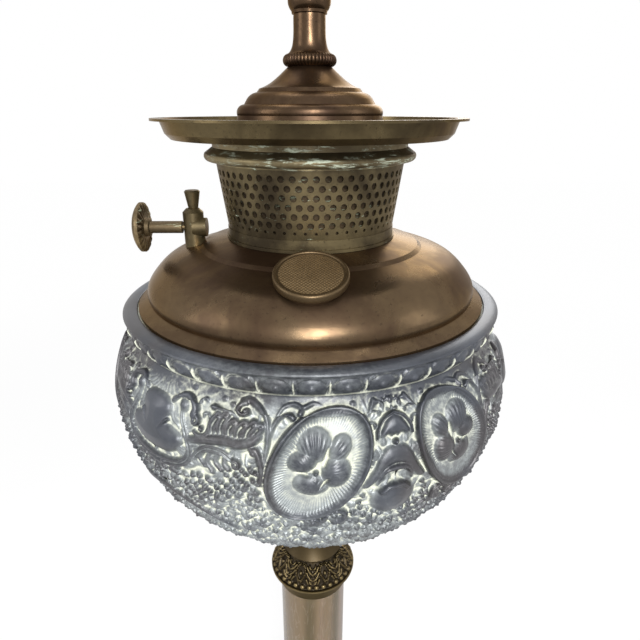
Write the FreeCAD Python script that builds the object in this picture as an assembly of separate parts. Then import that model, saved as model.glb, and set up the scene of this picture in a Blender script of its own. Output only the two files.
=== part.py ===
import FreeCAD, Part

import math
import os

# Banquet lamp: a drop-in brass oil font in a cast bowl, on an onyx column, later fitted with a lampholder.
# Millimetres, +Z up. The origin is on the lamp's axis, on the surface it stands on.
# The filler cap faces -Y and the wick winder faces -X.

Vector = FreeCAD.Vector
x_axis = Vector(1, 0, 0)
y_axis = Vector(0, 1, 0)
z_axis = Vector(0, 0, 1)
origin = Vector(0, 0, 0)
full_turn = 360.0
quarter_turn = 90.0
level_limit = 0.5     # a direction steeper than this counts as upright

# Clearances, shared by every piece
lift_gap = 0.3        # between pieces that pass each other or lift apart
fit_gap = 0.05        # radial gap of soldered, threaded and turning fits
overrun = 4.0         # how far a cutting tool runs past what it cuts

# Lamp pipe and its nuts
pipe_radius = 4.8
pipe_bore_radius = 3.2
nut_width = 17.0
nut_height = 5.0
nut_sides = 6
pipe_end_length = 2.5

# Feet
foot_count = 4
foot_height = 14.0
foot_depth = 28.0
foot_width = 24.0
foot_overhang = 5.0
foot_first_angle = 45.0
foot_sole_shares = ((0.42, 0.0), (0.88, 0.0))
foot_toe_shares = ((1.0, 0.24), (0.87, 0.46))
foot_instep_shares = ((0.76, 0.72), (0.81, 1.0))
foot_heel_shares = ((0.0, 1.0), (0.10, 0.52), (0.34, 0.0))
foot_screw_radius = 2.0
foot_screw_head_radius = 4.0
foot_screw_head_height = 2.5
foot_screw_recess = 4.0
foot_screw_grip = 6.0
foot_screw_place_share = 0.58

# Flat ring that the feet are screwed to
base_ring_height = 11.0
base_ring_width = 24.0

# Base casting on the ring
casting_radius = 86.0
casting_height = 41.0
casting_wall = 5.0
casting_top_radius = 31.0
casting_step_shares = ((1.0, 0.0), (0.93, 0.05))
casting_dome_shares = ((0.91, 0.20), (0.80, 0.42), (0.58, 0.58), (0.36, 0.63))
casting_ledge_shares = ((0.31, 0.66),)
casting_sweep_shares = ((0.16, 0.73), (0.05, 0.86), (0.0, 1.0))

# Cord outlet bushing in the back of the base ring
bushing_radius = 3.7
bushing_bore_radius = 2.8
bushing_flange_radius = 5.0
bushing_flange_thickness = 1.5

# Socle between the base casting and the column
socle_height = 29.0
socle_foot_radius = 29.0
socle_waist_radius = 23.5
socle_bead_radius = 26.5
socle_bead_height = 7.0

# Onyx column
column_radius = 20.9
column_length = 150.0

# Foliate cup on top of the column
cup_height = 29.0
cup_foot_radius = 22.0
cup_radius = 27.0
cup_swell_shares = ((0.46, 0.24), (0.82, 0.42), (1.0, 0.68))
cup_rim_height = 6.0
cup_rim_step = 3.0

# Spun neck between the cup and the bowl
neck_height = 43.2
neck_foot_radius = 19.0
neck_waist_radius = 13.5
neck_waist_share = 0.32
neck_wall = 2.0
neck_flange_thickness = 2.5
neck_vent_count = 8
neck_vent_radius = 3.2
neck_vent_height_share = 0.72

# Cast bowl that holds the font
bowl_wall = 3.6
bowl_belly_height = 83.7
bowl_shoulder_rise = 27.1
bowl_cove_rise = 4.5
bowl_egg_rise = 11.0
bowl_rim_crest = 1.1
bowl_cove_undercut = 2.2
bowl_rim_overhang = 4.7
bowl_rim_lean = 0.3
bowl_rim_edge = 0.3
bowl_shoulder_step = 6.9
bowl_belly_swell = 6.6
bowl_fullness_share = 1.94
bowl_bottom_share = 0.93
bowl_shoulder_share = 0.75
bowl_curve_shares = (0.0, 0.18, 0.36, 0.52, 0.66, 0.78, 0.87, 0.95, 1.0)
bowl_floor_bore_share = 0.7167
bowl_foot_share = 0.34
bowl_mouth_depth = 9.0

# Perforated plate and nut that clamp the bowl
plate_share = 0.9096
plate_thickness = 2.0
plate_vent_count = 8
plate_vent_radius = 3.6
plate_vent_circle_share = 0.5455

# Oil font
sheet = 0.8
font_body_radius = 78.0
font_mouth_clearance = 2.5
font_flange_width = 9.0
font_rim_gap = 0.6
font_lip_width = 5.4
font_lip_rise = 3.1
font_step_share = 0.3571
font_dome_rise = 22.4
font_dome_shares = ((-0.01, 0.22), (0.14, 0.50), (0.37, 0.75), (0.68, 0.90), (1.0, 1.0))
font_step_run = 2.0
font_step_rise = 1.5
font_cone_rise = 3.0
font_depth = 77.5
font_side_height = 20.0
font_floor_radius = 36.0
font_floor_lap = 4.0
font_floor_curve_shares = ((0.97, 0.30), (0.80, 0.66))
font_collar_share = 0.52564
font_collar_wall = 5.0
font_collar_height = 5.7
font_collar_bead_height = 1.4
font_collar_bead_width = 0.7

# Draught tube, wick and outer wick tube
draft_radius = 17.0
draft_tube_height = 28.0
wick_thickness = 2.4
wick_length = 98.0
wick_show = 22.0
wick_tube_rise = 25.0
wick_tube_drop = 6.0

# Wick carrier and its arm
carrier_height = 6.0
carrier_wall = 2.2
carrier_drop = 36.0
arm_width = 5.0
arm_thickness = 2.0

# Winder post on the left of the font
post_radius = 5.1
post_bore_radius = 4.4
post_stand_off = 3.2
post_height = 18.1
post_root = 8.0
post_top_thickness = 2.0
post_round = 1.8
post_boss_radius = 4.6
post_boss_length = 1.7

# Winder shaft, pinion and knob
winder_height = 9.1
winder_sleeve_radius = 3.0
winder_journal_radius = 1.2
winder_offset = 1.7
winder_sleeve_length = 18.0
pinion_teeth = 8
pinion_pitch_radius = 2.0
pinion_root_radius = 1.55
pinion_tip_radius = 2.3
pinion_length = 3.0
pinion_turn_share = 0.5
tooth_width = 0.5
knob_radius = 12.2
knob_thickness = 5.2
knob_hub_radius = 4.4
knob_hub_length = 2.2
knob_crown_shares = ((1.0, 0.45), (0.74, 0.84), (0.30, 1.0))
knob_rim_share = 0.15
knob_back_share = 0.80

# Rack bar and its head
rack_thickness = 1.7
rack_width = 2.4
rack_tooth_depth = 0.8
rack_root_gap = 0.35
rack_tooth_count = 11
rack_head_height = 8.6
rack_head_radius = 3.85
rack_head_foot_radius = 2.45
rack_head_round = 0.6

# Tilted filler with its screw cap
filler_place_share = 0.5665
filler_rise = 5.4
filler_tilt = 20.0
filler_cap_share = 0.3818
filler_cap_height = 3.6
filler_cap_plate = 1.2
filler_cap_dish = 0.5
filler_cap_rim = 1.6
filler_cap_wall = 2.05
filler_gasket_thickness = 0.8
filler_neck_wall = 1.2
filler_neck_length = 10.0

# Burner basket
basket_sheet = 0.6
basket_height = 29.6
basket_flare = 4.1
basket_hole_count = 56
basket_hole_radius = 1.45
basket_row_pitch = 3.95
basket_full_rows = 6
basket_first_row_height = 6.3
basket_small_row_height = 3.0
basket_small_hole_radius = 0.7
liner_inset = 2.8

# Flared ring on top of the basket
ring_height = 10.8
ring_inset = 4.5
ring_flare = 5.4
ring_flare_shares = ((0.55, 0.10), (1.0, 0.26), (0.93, 0.42))
ring_neck_share = 0.26
ring_neck_height_share = 0.66

# Pan
pan_sheet = 1.0
pan_radius = 72.5
pan_lip_width = 4.0
pan_depth = 8.7
pan_wall_slope = 1.8
pan_corner = 2.4

# Dome on the pan
dome_sheet = 1.2
dome_radius = 35.0
dome_height = 29.1
dome_first_step_shares = ((0.965, 0.30), (0.955, 0.40), (0.87, 0.46))
dome_second_step_shares = ((0.83, 0.54), (0.785, 0.595), (0.70, 0.635))
dome_sweep_shares = ((0.665, 0.69), (0.50, 0.785), (0.38, 0.90), (0.285, 1.0))

# Milled ring and turned stem
milled_ring_height = 5.3
milled_ring_radius = 12.2
milled_ring_foot_radius = 10.2
stem_height = 28.0
stem_bead_radius = 9.4
stem_waist_shares = ((1.05, 0.0), (0.90, 0.06), (0.79, 0.20), (0.765, 0.36), (0.755, 0.55))
stem_fillet_shares = ((0.83, 0.56), (0.85, 0.60))
stem_bead_shares = ((1.0, 0.70), (1.0, 0.77), (0.86, 0.86))
stem_top_shares = ((0.80, 0.90), (0.86, 1.0))

# Lampholder
holder_cap_height = 14.0
holder_cap_foot_radius = 8.0
holder_cap_hub_height = 4.0
holder_cap_lip = 2.5
shell_radius = 17.2
shell_sheet = 0.8
shell_height = 45.0
shell_lip_width = 1.0
shell_lip_height = 2.0
sleeve_sheet = 0.6
core_height = 12.0
core_gap = 3.0
thread_shell_radius = 13.9
thread_shell_sheet = 0.6
thread_shell_floor = 1.9
thread_shell_height = 25.0
contact_radius = 3.6
contact_height = 1.6

# Turn key of the lampholder
key_radius = 1.5
key_bite = 8.0
key_reach = 9.5
key_height_share = 0.5
key_thumb_length = 8.0
key_thumb_width = 12.0
key_thumb_thickness = 2.6

# Heights of the stack, from the surface up
base_ring_z = foot_height
casting_z = base_ring_z + base_ring_height
socle_z = casting_z + casting_height
column_z = socle_z + socle_height
cup_z = column_z + column_length
neck_z = cup_z + cup_height
bowl_z = neck_z + neck_height
belly_z = bowl_z + bowl_belly_height
shoulder_z = belly_z + bowl_shoulder_rise
cove_z = shoulder_z + bowl_cove_rise
font_z = cove_z + bowl_egg_rise
flange_z = font_z + sheet
lip_z = flange_z + sheet
dome_foot_z = lip_z + font_lip_rise
step_z = dome_foot_z + font_dome_rise
cone_z = step_z + font_step_rise
collar_z = cone_z + font_cone_rise
basket_z = collar_z + font_collar_height
ring_z = basket_z + basket_height
pan_z = ring_z + ring_height
dome_z = pan_z + pan_sheet
milled_z = dome_z + dome_height
stem_z = milled_z + milled_ring_height
holder_z = stem_z + stem_height

# Radii that follow from others
pipe_hole_radius = pipe_radius + lift_gap
font_flange_radius = font_body_radius + font_flange_width
mouth_radius = font_body_radius + font_mouth_clearance
rim_seat_radius = font_flange_radius + font_rim_gap
cove_radius = rim_seat_radius + bowl_cove_undercut
rim_radius = cove_radius + bowl_rim_overhang
shoulder_radius = cove_radius + bowl_shoulder_step
belly_radius = shoulder_radius + bowl_belly_swell
font_collar_radius = font_body_radius * font_collar_share
font_collar_inner_radius = font_collar_radius - font_collar_wall
dome_foot_radius = font_flange_radius - font_lip_width
font_band = dome_foot_radius - font_collar_radius
step_radius = font_collar_radius + font_band * font_step_share
cone_radius = step_radius - font_step_run
wick_inner_radius = draft_radius + lift_gap
wick_radius = wick_inner_radius + wick_thickness
wick_tube_radius = wick_radius + lift_gap + sheet
basket_radius = font_collar_radius - lift_gap
basket_top_radius = basket_radius + basket_flare
pan_wall_top_radius = pan_radius - pan_lip_width
pan_wall_foot_radius = pan_wall_top_radius - pan_wall_slope
post_reach = step_radius + post_stand_off
filler_reach = font_collar_radius + font_band * filler_place_share
filler_cap_radius = font_band * filler_cap_share
filler_neck_radius = filler_cap_radius - filler_cap_wall - fit_gap
base_ring_inner_radius = casting_radius - base_ring_width


def edge_between(start, step):
    """A line to a point, an arc through a middle point, or a curve through several."""
    if isinstance(step, list):
        points = [start] + step
        if len(points) == 3:
            return Part.Arc(*points).toShape()
        curve = Part.BSplineCurve()
        curve.interpolate(points)
        return curve.toShape()
    return Part.LineSegment(start, step).toShape()


def section(start, steps, place):
    """A flat face inside an outline of lines and curves, closed by a last line."""
    first = place(*start)
    here = first
    edges = []
    for step in steps:
        move = [place(*point) for point in step] if isinstance(step, list) else place(*step)
        edges.append(edge_between(here, move))
        here = move[-1] if isinstance(move, list) else move
    edges.append(Part.LineSegment(here, first).toShape())
    return Part.Face(Part.Wire(edges))


def turned(start, *steps):
    """A solid turned about Z, from an outline of (radius, height) points."""
    face = section(start, steps, lambda radius, height: Vector(radius, 0, height))
    return face.revolve(origin, z_axis, full_turn)


def tube(outer, inner, low, high):
    """A plain ring about Z."""
    return turned((inner, low), (outer, low), (outer, high), (inner, high))


def rod(radius, low, high):
    """A plain cylinder about Z."""
    return Part.makeCylinder(radius, high - low, Vector(0, 0, low), z_axis)


def block(low, high):
    """A box between two corners."""
    return Part.makeBox(high[0] - low[0], high[1] - low[1], high[2] - low[2], Vector(*low))


def hexagon(width, low, high):
    """A six-sided prism about Z, measured across its flats."""
    corner = width / 2 / math.cos(math.pi / nut_sides)
    angles = [math.radians(full_turn * index / nut_sides) for index in range(nut_sides + 1)]
    points = [Vector(corner * math.cos(angle), corner * math.sin(angle), low) for angle in angles]
    return Part.Face(Part.makePolygon(points)).extrude(Vector(0, 0, high - low))


def round_about(shape, count, first_angle=0.0):
    """Copies of a shape spaced evenly about Z."""
    copies = []
    for index in range(count):
        copy = shape.copy()
        copy.rotate(origin, z_axis, first_angle + full_turn * index / count)
        copies.append(copy)
    return copies


def shared(shares, inner, outer, low, high):
    """Outline points from shares of a radius span and a height span."""
    return [(inner + (outer - inner) * across, low + (high - low) * up) for across, up in shares]


def pipe_nut(low):
    """A hexagonal nut on the lamp pipe."""
    hole = rod(pipe_radius + fit_gap, low - overrun, low + nut_height + overrun)
    return hexagon(nut_width, low, low + nut_height).cut(hole)


def foot_place():
    """Radius of the foot's heel and toe, and of its screw."""
    toe = casting_radius + foot_overhang
    heel = toe - foot_depth
    return heel, toe, heel + foot_depth * foot_screw_place_share


def one_foot():
    """A scrolled foot, cut from its side outline."""
    heel, toe, screw_radius = foot_place()
    sole = shared(foot_sole_shares, heel, toe, 0.0, foot_height)
    scroll = shared(foot_toe_shares, heel, toe, 0.0, foot_height)
    instep = shared(foot_instep_shares, heel, toe, 0.0, foot_height)
    back = shared(foot_heel_shares, heel, toe, 0.0, foot_height)
    outline = [sole[1], scroll, instep, back[0], back[1:]]
    face = section(sole[0], outline, lambda radius, height: Vector(radius, -foot_width / 2, height))
    foot = face.extrude(Vector(0, foot_width, 0))
    shank = rod(foot_screw_radius + fit_gap, -overrun, foot_height + overrun)
    head = rod(foot_screw_head_radius + lift_gap, -overrun, foot_screw_recess)
    hole = shank.fuse(head)
    hole.translate(Vector(screw_radius, 0, 0))
    return foot.cut(hole)


def one_foot_screw(extra=0.0):
    """The screw that holds a foot, headed below the foot's web."""
    head = rod(foot_screw_head_radius, foot_screw_recess - foot_screw_head_height, foot_screw_recess)
    shank = rod(foot_screw_radius + extra, foot_screw_recess, foot_height + foot_screw_grip + extra)
    screw = head.fuse(shank)
    screw.translate(Vector(foot_place()[2], 0, 0))
    return screw


def base_feet():
    return Part.makeCompound(round_about(one_foot(), foot_count, foot_first_angle))


def foot_screws():
    return Part.makeCompound(round_about(one_foot_screw(), foot_count, foot_first_angle))


def base_ring():
    """The flat ring between the feet and the casting, bored for the foot screws and the flex."""
    shape = tube(casting_radius, base_ring_inner_radius, base_ring_z, casting_z)
    for hole in round_about(one_foot_screw(fit_gap), foot_count, foot_first_angle):
        shape = shape.cut(hole)
    return shape.cut(bushing_bore(bushing_radius + fit_gap, overrun))


def casting_sweep(top_radius, rim, low, high):
    """The casting's outline above its foot: a step, a dome, a ledge and a sweep to its top."""
    step = shared(casting_step_shares, top_radius, rim, low, high)
    dome = shared(casting_dome_shares, top_radius, rim, low, high)
    ledge = shared(casting_ledge_shares, top_radius, rim, low, high)
    sweep = shared(casting_sweep_shares, top_radius, rim, low, high)
    return [step[0], step[1], dome[0], dome[1:], ledge[0], sweep]


def base_casting():
    """The hollow round casting that stands on the ring."""
    outer = turned((0.0, casting_z), *casting_sweep(casting_top_radius, casting_radius, casting_z, socle_z),
                   (0.0, socle_z))
    inner_foot = casting_radius - casting_wall
    ceiling = socle_z - casting_wall
    hollow = turned((0.0, casting_z - overrun), (inner_foot, casting_z - overrun),
                    *casting_sweep(casting_top_radius - casting_wall, inner_foot, casting_z, ceiling),
                    (0.0, ceiling))
    return outer.cut(hollow).cut(rod(pipe_hole_radius, ceiling - overrun, socle_z + overrun))


def bushing_z():
    return base_ring_z + base_ring_height / 2


def bushing_bore(radius, extra):
    """A cylinder through the back of the base ring."""
    start = base_ring_inner_radius - extra
    return Part.makeCylinder(radius, base_ring_width + extra * 2, Vector(0, start, bushing_z()), y_axis)


def cord_bushing():
    """A flanged sleeve for a flex, in the back of the base."""
    flange_place = Vector(0, casting_radius + fit_gap, bushing_z())
    flange = Part.makeCylinder(bushing_flange_radius, bushing_flange_thickness, flange_place, y_axis)
    sleeve = bushing_bore(bushing_radius, 0.0).fuse(
        Part.makeCylinder(bushing_radius, fit_gap * 2, flange_place - y_axis * fit_gap, y_axis))
    return flange.fuse(sleeve).cut(bushing_bore(bushing_bore_radius, overrun))


def socle():
    """The turned brass piece under the column, waisted, with a bead at its top."""
    bead_z = column_z - socle_bead_height
    middle_z = (socle_z + bead_z) / 2
    return turned((pipe_hole_radius, socle_z), (socle_foot_radius, socle_z),
                  [(socle_waist_radius, middle_z), (socle_waist_radius, bead_z)],
                  [(socle_bead_radius, (bead_z + column_z) / 2), (socle_waist_radius, column_z)],
                  (pipe_hole_radius, column_z))


def onyx_column():
    return tube(column_radius, pipe_hole_radius, column_z, cup_z)


def column_cup():
    """The foliate brass cup, widest near its top, with a small stepped rim."""
    rim_z = neck_z - cup_rim_height
    swell = shared(cup_swell_shares, cup_foot_radius, cup_radius, cup_z, rim_z)
    return turned((pipe_hole_radius, cup_z), (cup_foot_radius, cup_z), swell, (cup_radius, rim_z),
                  (cup_radius - cup_rim_step, neck_z), (pipe_hole_radius, neck_z))


def bowl_curve_radius(share):
    """Radius share of the belly's curve, at a share of its half height."""
    return (1 - share ** bowl_fullness_share) ** (1 / bowl_fullness_share)


def bowl_floor_radius():
    return belly_radius * bowl_curve_radius(bowl_bottom_share)


def bowl_floor_bore_radius():
    return bowl_floor_radius() * bowl_floor_bore_share


def bowl_neck():
    """The hollow spun neck that carries the bowl, with a ring of air vents."""
    waist_z = neck_z + neck_height * neck_waist_share
    top_radius = bowl_floor_radius() - neck_wall
    flange_z_low = bowl_z - neck_flange_thickness
    outer = turned((0.0, neck_z), (neck_foot_radius, neck_z),
                   [(neck_waist_radius, waist_z), (top_radius, flange_z_low)],
                   (top_radius, bowl_z), (0.0, bowl_z))
    vent_z = neck_z + neck_height * neck_vent_height_share
    hollow = turned((0.0, neck_z - overrun), (pipe_hole_radius, neck_z - overrun),
                    (pipe_hole_radius, neck_z + neck_flange_thickness),
                    (neck_waist_radius - neck_wall, waist_z),
                    [(neck_hollow_radius(), vent_z), (bowl_floor_bore_radius(), flange_z_low)],
                    (bowl_floor_bore_radius(), bowl_z + overrun), (0.0, bowl_z + overrun))
    shape = outer.cut(hollow)
    vent = Part.makeCylinder(neck_vent_radius, top_radius + overrun, Vector(0, 0, vent_z), x_axis)
    for hole in round_about(vent, neck_vent_count):
        shape = shape.cut(hole)
    return shape


def neck_hollow_radius():
    """Inside radius of the neck at its vents."""
    return (neck_waist_radius - neck_wall + bowl_floor_bore_radius()) / 2 - neck_wall


def bowl_outline(inset):
    """The bowl's belly from its floor up to its shoulder, set in by a wall."""
    half_height = bowl_belly_height / bowl_bottom_share - inset
    radius = belly_radius - inset
    floor_share = (bowl_belly_height - inset) / half_height
    points = []
    for share in bowl_curve_shares:
        down = floor_share * (1 - share)
        points.append((radius * bowl_curve_radius(down), belly_z - half_height * down))
    top = shoulder_radius - inset
    middle = (top + (radius - top) * bowl_shoulder_share, (belly_z + shoulder_z) / 2)
    return points, [middle, (top, shoulder_z)]


def bowl_foot_top_z():
    return bowl_z + bowl_belly_height * bowl_foot_share


def bowl_shell():
    """The lower half of the cast bowl, from its floor up to the belly."""
    belly = bowl_outline(0.0)[0]
    outer = turned((0.0, bowl_z), belly[0], belly[1:], (0.0, belly_z))
    inner_belly = bowl_outline(bowl_wall)[0]
    hollow = turned((0.0, bowl_z + bowl_wall), inner_belly[0], inner_belly[1:],
                    (belly_radius - bowl_wall, belly_z + overrun), (0.0, belly_z + overrun))
    floor_bore = rod(bowl_floor_bore_radius(), bowl_z - overrun, bowl_z + bowl_wall + overrun)
    return outer.cut(hollow).cut(floor_bore)


def bowl_foot():
    """The bowl's dished foot, with its bored floor."""
    return bowl_shell().cut(rod(belly_radius + overrun, bowl_foot_top_z(), belly_z + overrun))


def holder_bowl():
    """The bowl's belly, from its foot up to its widest line."""
    return bowl_shell().cut(rod(belly_radius + overrun, bowl_z - overrun, bowl_foot_top_z()))


def bowl_collar():
    """The bowl's upper casting: shoulder, cove, rolled rim and the ledge that the font sits on."""
    crest_z = font_z + bowl_rim_crest
    outer = turned((0.0, belly_z), (belly_radius, belly_z), bowl_outline(0.0)[1], (cove_radius, cove_z),
                   [(rim_radius - bowl_rim_lean, (cove_z + font_z) / 2),
                    (rim_radius, font_z - bowl_rim_edge)],
                   [((rim_radius + rim_seat_radius) / 2, crest_z), (rim_seat_radius, crest_z)],
                   (rim_seat_radius, font_z), (0.0, font_z))
    hollow = turned((0.0, belly_z - overrun), (belly_radius - bowl_wall, belly_z - overrun),
                    (belly_radius - bowl_wall, belly_z), bowl_outline(bowl_wall)[1],
                    (mouth_radius, font_z - bowl_mouth_depth), (mouth_radius, font_z + overrun),
                    (0.0, font_z + overrun))
    return outer.cut(hollow)


def holder_plate():
    """The perforated plate that clamps the bowl from inside."""
    low = bowl_z + bowl_wall
    plate_radius = bowl_floor_radius() * plate_share
    shape = tube(plate_radius, pipe_hole_radius, low, low + plate_thickness)
    vent = rod(plate_vent_radius, low - overrun, low + plate_thickness + overrun)
    vent.translate(Vector(plate_radius * plate_vent_circle_share, 0, 0))
    for hole in round_about(vent, plate_vent_count):
        shape = shape.cut(hole)
    return shape


def centre_rod():
    """The pipe that pulls the whole stand together."""
    low = socle_z - casting_wall - nut_height - pipe_end_length
    high = bowl_z + bowl_wall + plate_thickness + nut_height + pipe_end_length
    return tube(pipe_radius, pipe_bore_radius, low, high)


def rod_washer():
    low = socle_z - casting_wall
    return tube(nut_width / 2, pipe_hole_radius, low - sheet, low)


def font_floor_z():
    return font_z - font_depth


def font_floor():
    """The font's flat floor, lapped under the dished shell and soldered to the draught tube."""
    return tube(font_floor_radius, draft_radius + fit_gap, font_floor_z() - sheet, font_floor_z())


def font_bottom():
    """The font's lower shell: a flange on the bowl's ledge, a deep dished body and a lap for the floor."""
    floor_z = font_floor_z()
    side_z = font_z - font_side_height

    def shell(inset, top):
        radius = font_body_radius - inset
        floor = font_floor_radius - inset
        curve = shared(font_floor_curve_shares, floor, radius, side_z, floor_z + inset)
        return turned((0.0, top), (radius, top), (radius, side_z), curve + [(floor, floor_z + inset)],
                      (0.0, floor_z + inset))

    body = shell(0.0, flange_z)
    body = body.fuse(rod(font_flange_radius - sheet - lift_gap, font_z, flange_z))
    body = body.cut(shell(sheet, flange_z + overrun))
    return body.cut(rod(font_floor_radius - font_floor_lap, floor_z - overrun, floor_z + overrun))


def font_dome_points():
    """The dome's outline from its foot inwards to the step."""
    return shared(font_dome_shares, dome_foot_radius, step_radius, dome_foot_z, step_z)


def font_surface_z(radius):
    """Height of the dome's upper stretch at a radius, on the chord between its last two points."""
    outer, inner = font_dome_points()[-2:]
    slope = (inner[1] - outer[1]) / (inner[0] - outer[0])
    return outer[1] + slope * (radius - outer[0])


def font_profile(inset):
    """The font's upper surface from its rim to the collar seat, lowered by a sheet."""
    dome = [(across - inset, up - inset) for across, up in font_dome_points()]
    return [(dome_foot_radius - inset, dome_foot_z - inset), dome, (cone_radius - inset, cone_z - inset),
            (font_collar_radius, collar_z - inset)]


def font_top():
    """The font's upper shell, with holes for the wick tube, filler and winder post."""
    rim = [(font_flange_radius, font_z), (font_flange_radius, lip_z)]
    outer = turned((0.0, font_z), *rim, *font_profile(0.0), (0.0, collar_z))
    under = turned((0.0, font_z - overrun), (font_flange_radius - sheet, font_z - overrun),
                   (font_flange_radius - sheet, flange_z), (dome_foot_radius - sheet, flange_z),
                   *font_profile(sheet), (0.0, collar_z - sheet))
    shape = outer.cut(under)
    shape = shape.cut(rod(wick_tube_radius + fit_gap, font_z, collar_z + overrun))
    shape = shape.cut(filler_placed(rod(filler_neck_radius + fit_gap, -filler_neck_length, 0.0)))
    post_hole = rod(post_radius + fit_gap, post_foot_z() - overrun, post_foot_z() + post_height)
    return shape.cut(at_post(post_hole))


def font_collar():
    """The threaded collar that the burner basket stands on, with a bead at its foot."""
    bead_z = collar_z + font_collar_bead_height
    bead_radius = font_collar_radius + font_collar_bead_width
    return turned((font_collar_inner_radius, collar_z), (bead_radius, collar_z), (bead_radius, bead_z),
                  (font_collar_radius, bead_z), (font_collar_radius, basket_z),
                  (font_collar_inner_radius, basket_z))


def draft_tube():
    low = font_floor_z() - sheet
    return tube(draft_radius, draft_radius - sheet, low, collar_z + draft_tube_height)


def wick_tube():
    return tube(wick_tube_radius, wick_tube_radius - sheet, collar_z - wick_tube_drop,
                collar_z + wick_tube_rise)


def wick_top_z():
    return collar_z + wick_show


def wick():
    return tube(wick_radius, wick_inner_radius, wick_top_z() - wick_length, wick_top_z())


def carrier_foot_z():
    return collar_z - carrier_drop


def wick_carrier():
    inner = wick_radius + fit_gap
    return tube(inner + carrier_wall, inner, carrier_foot_z(), carrier_foot_z() + carrier_height)


def rack_middle_y():
    """Distance of the rack bar's middle behind the post's axis."""
    return pinion_tip_radius + rack_root_gap + rack_thickness / 2 - winder_offset


def wick_arm():
    """The arm from the rack bar to the wick carrier."""
    low_z = carrier_foot_z()
    carrier_radius = wick_radius + fit_gap + carrier_wall
    middle = rack_middle_y()
    arm = block((-post_reach - rack_width, middle - arm_width / 2, low_z),
                (0.0, middle + arm_width / 2, low_z + arm_thickness))
    return arm.cut(rod(carrier_radius + fit_gap, low_z - overrun, low_z + arm_thickness + overrun))


def post_foot_z():
    """Where the winder post stands on the font."""
    return font_surface_z(post_reach)


def at_post(shape):
    shape.translate(Vector(-post_reach, 0, 0))
    return shape


def winder_z():
    return post_foot_z() + winder_height


def winder_rod(radius, start, end):
    """A cylinder on the winder's axis, between two distances from the post's axis."""
    place = Vector(-post_reach + start, -winder_offset, winder_z())
    return Part.makeCylinder(radius, end - start, place, x_axis)


def winder_post():
    """The hollow post, soldered through the font, that holds the pinion and guides the rack."""
    low = post_foot_z() - post_root
    top = post_foot_z() + post_height
    post = turned((0.0, low), (post_radius, low), (post_radius, top - post_round),
                  (post_radius - post_round, top), (0.0, top))
    post = post.cut(rod(post_bore_radius, low - overrun, top - post_top_thickness))
    half = rack_width / 2 + lift_gap
    reach = rack_thickness / 2 + lift_gap
    middle = rack_middle_y()
    slot = block((-half, middle - reach - rack_tooth_depth, top - overrun),
                 (half, middle + reach, top + overrun))
    post = at_post(post.cut(slot))
    reach = post_radius + overrun
    return post.cut(winder_rod(winder_journal_radius + fit_gap, -reach, reach))


def winder_bushing():
    """The boss on the far side of the post that carries the shaft's end."""
    boss = winder_rod(post_boss_radius, 0.0, post_radius + post_boss_length)
    post = at_post(rod(post_radius + fit_gap, winder_z() - post_height, winder_z() + post_height))
    bore = winder_rod(winder_journal_radius + fit_gap, -overrun, post_radius + post_boss_length / 2)
    return boss.cut(post).cut(bore)


def winder_shaft():
    """The turned shaft: a stout stretch outside the post and a thin journal through it."""
    sleeve_end = -post_radius - lift_gap
    sleeve = winder_rod(winder_sleeve_radius, sleeve_end - winder_sleeve_length, sleeve_end)
    journal = winder_rod(winder_journal_radius, sleeve_end - fit_gap, post_radius + post_boss_length / 4)
    return sleeve.fuse(journal)


def winder_pinion():
    """A small pinion on the journal, in mesh with the rack."""
    half = pinion_length / 2
    body = winder_rod(pinion_root_radius, -half, half)
    pitch_angle = full_turn / pinion_teeth
    place = Vector(-post_reach, -winder_offset, winder_z())
    low_corner = (-post_reach - half, -winder_offset, winder_z() - tooth_width / 2)
    high_corner = (-post_reach + half, -winder_offset + pinion_tip_radius, winder_z() + tooth_width / 2)
    for index in range(pinion_teeth):
        tooth = block(low_corner, high_corner)
        tooth.rotate(place, x_axis, pitch_angle * (index + pinion_turn_share))
        body = body.fuse(tooth)
    return body.cut(winder_rod(winder_journal_radius + fit_gap, -post_radius, post_radius))


def winder_knob():
    """A domed hand wheel with a hub, on the end of the shaft."""
    back = (knob_radius * knob_back_share, 0.0)
    crown = shared(knob_crown_shares, 0.0, knob_radius, 0.0, knob_thickness)
    knob = turned((winder_sleeve_radius + fit_gap, -knob_hub_length), (knob_hub_radius, -knob_hub_length),
                  (knob_hub_radius, 0.0), back, (knob_radius, knob_thickness * knob_rim_share),
                  crown[0], crown[1:], (0.0, knob_thickness), (0.0, 0.0),
                  (winder_sleeve_radius + fit_gap, 0.0))
    knob.rotate(origin, y_axis, -quarter_turn)
    face = -post_reach - post_radius - lift_gap - winder_sleeve_length
    knob.translate(Vector(face, -winder_offset, winder_z()))
    return knob


def rack_bar():
    """The toothed bar that lifts the wick, running down through the post into the font."""
    middle = rack_middle_y()
    half = rack_width / 2
    face_y = middle - rack_thickness / 2
    top = post_foot_z() + post_height
    low = carrier_foot_z() + arm_thickness
    bar = block((-post_reach - half, face_y, low), (-post_reach + half, middle + rack_thickness / 2, top))
    pitch = math.pi * 2 * pinion_pitch_radius / pinion_teeth
    for index in range(rack_tooth_count):
        height = winder_z() + pitch * (1 - index)
        bar = bar.fuse(block((-post_reach - half, face_y - rack_tooth_depth, height - tooth_width / 2),
                             (-post_reach + half, face_y, height + tooth_width / 2)))
    return bar


def rack_head():
    """The flared finger grip on top of the rack bar."""
    low = post_foot_z() + post_height
    top = low + rack_head_height
    head = turned((0.0, low), (rack_head_foot_radius, low), (rack_head_radius, top - rack_head_round),
                  (rack_head_radius - rack_head_round, top), (0.0, top))
    head.translate(Vector(-post_reach, rack_middle_y(), 0))
    return head


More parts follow.
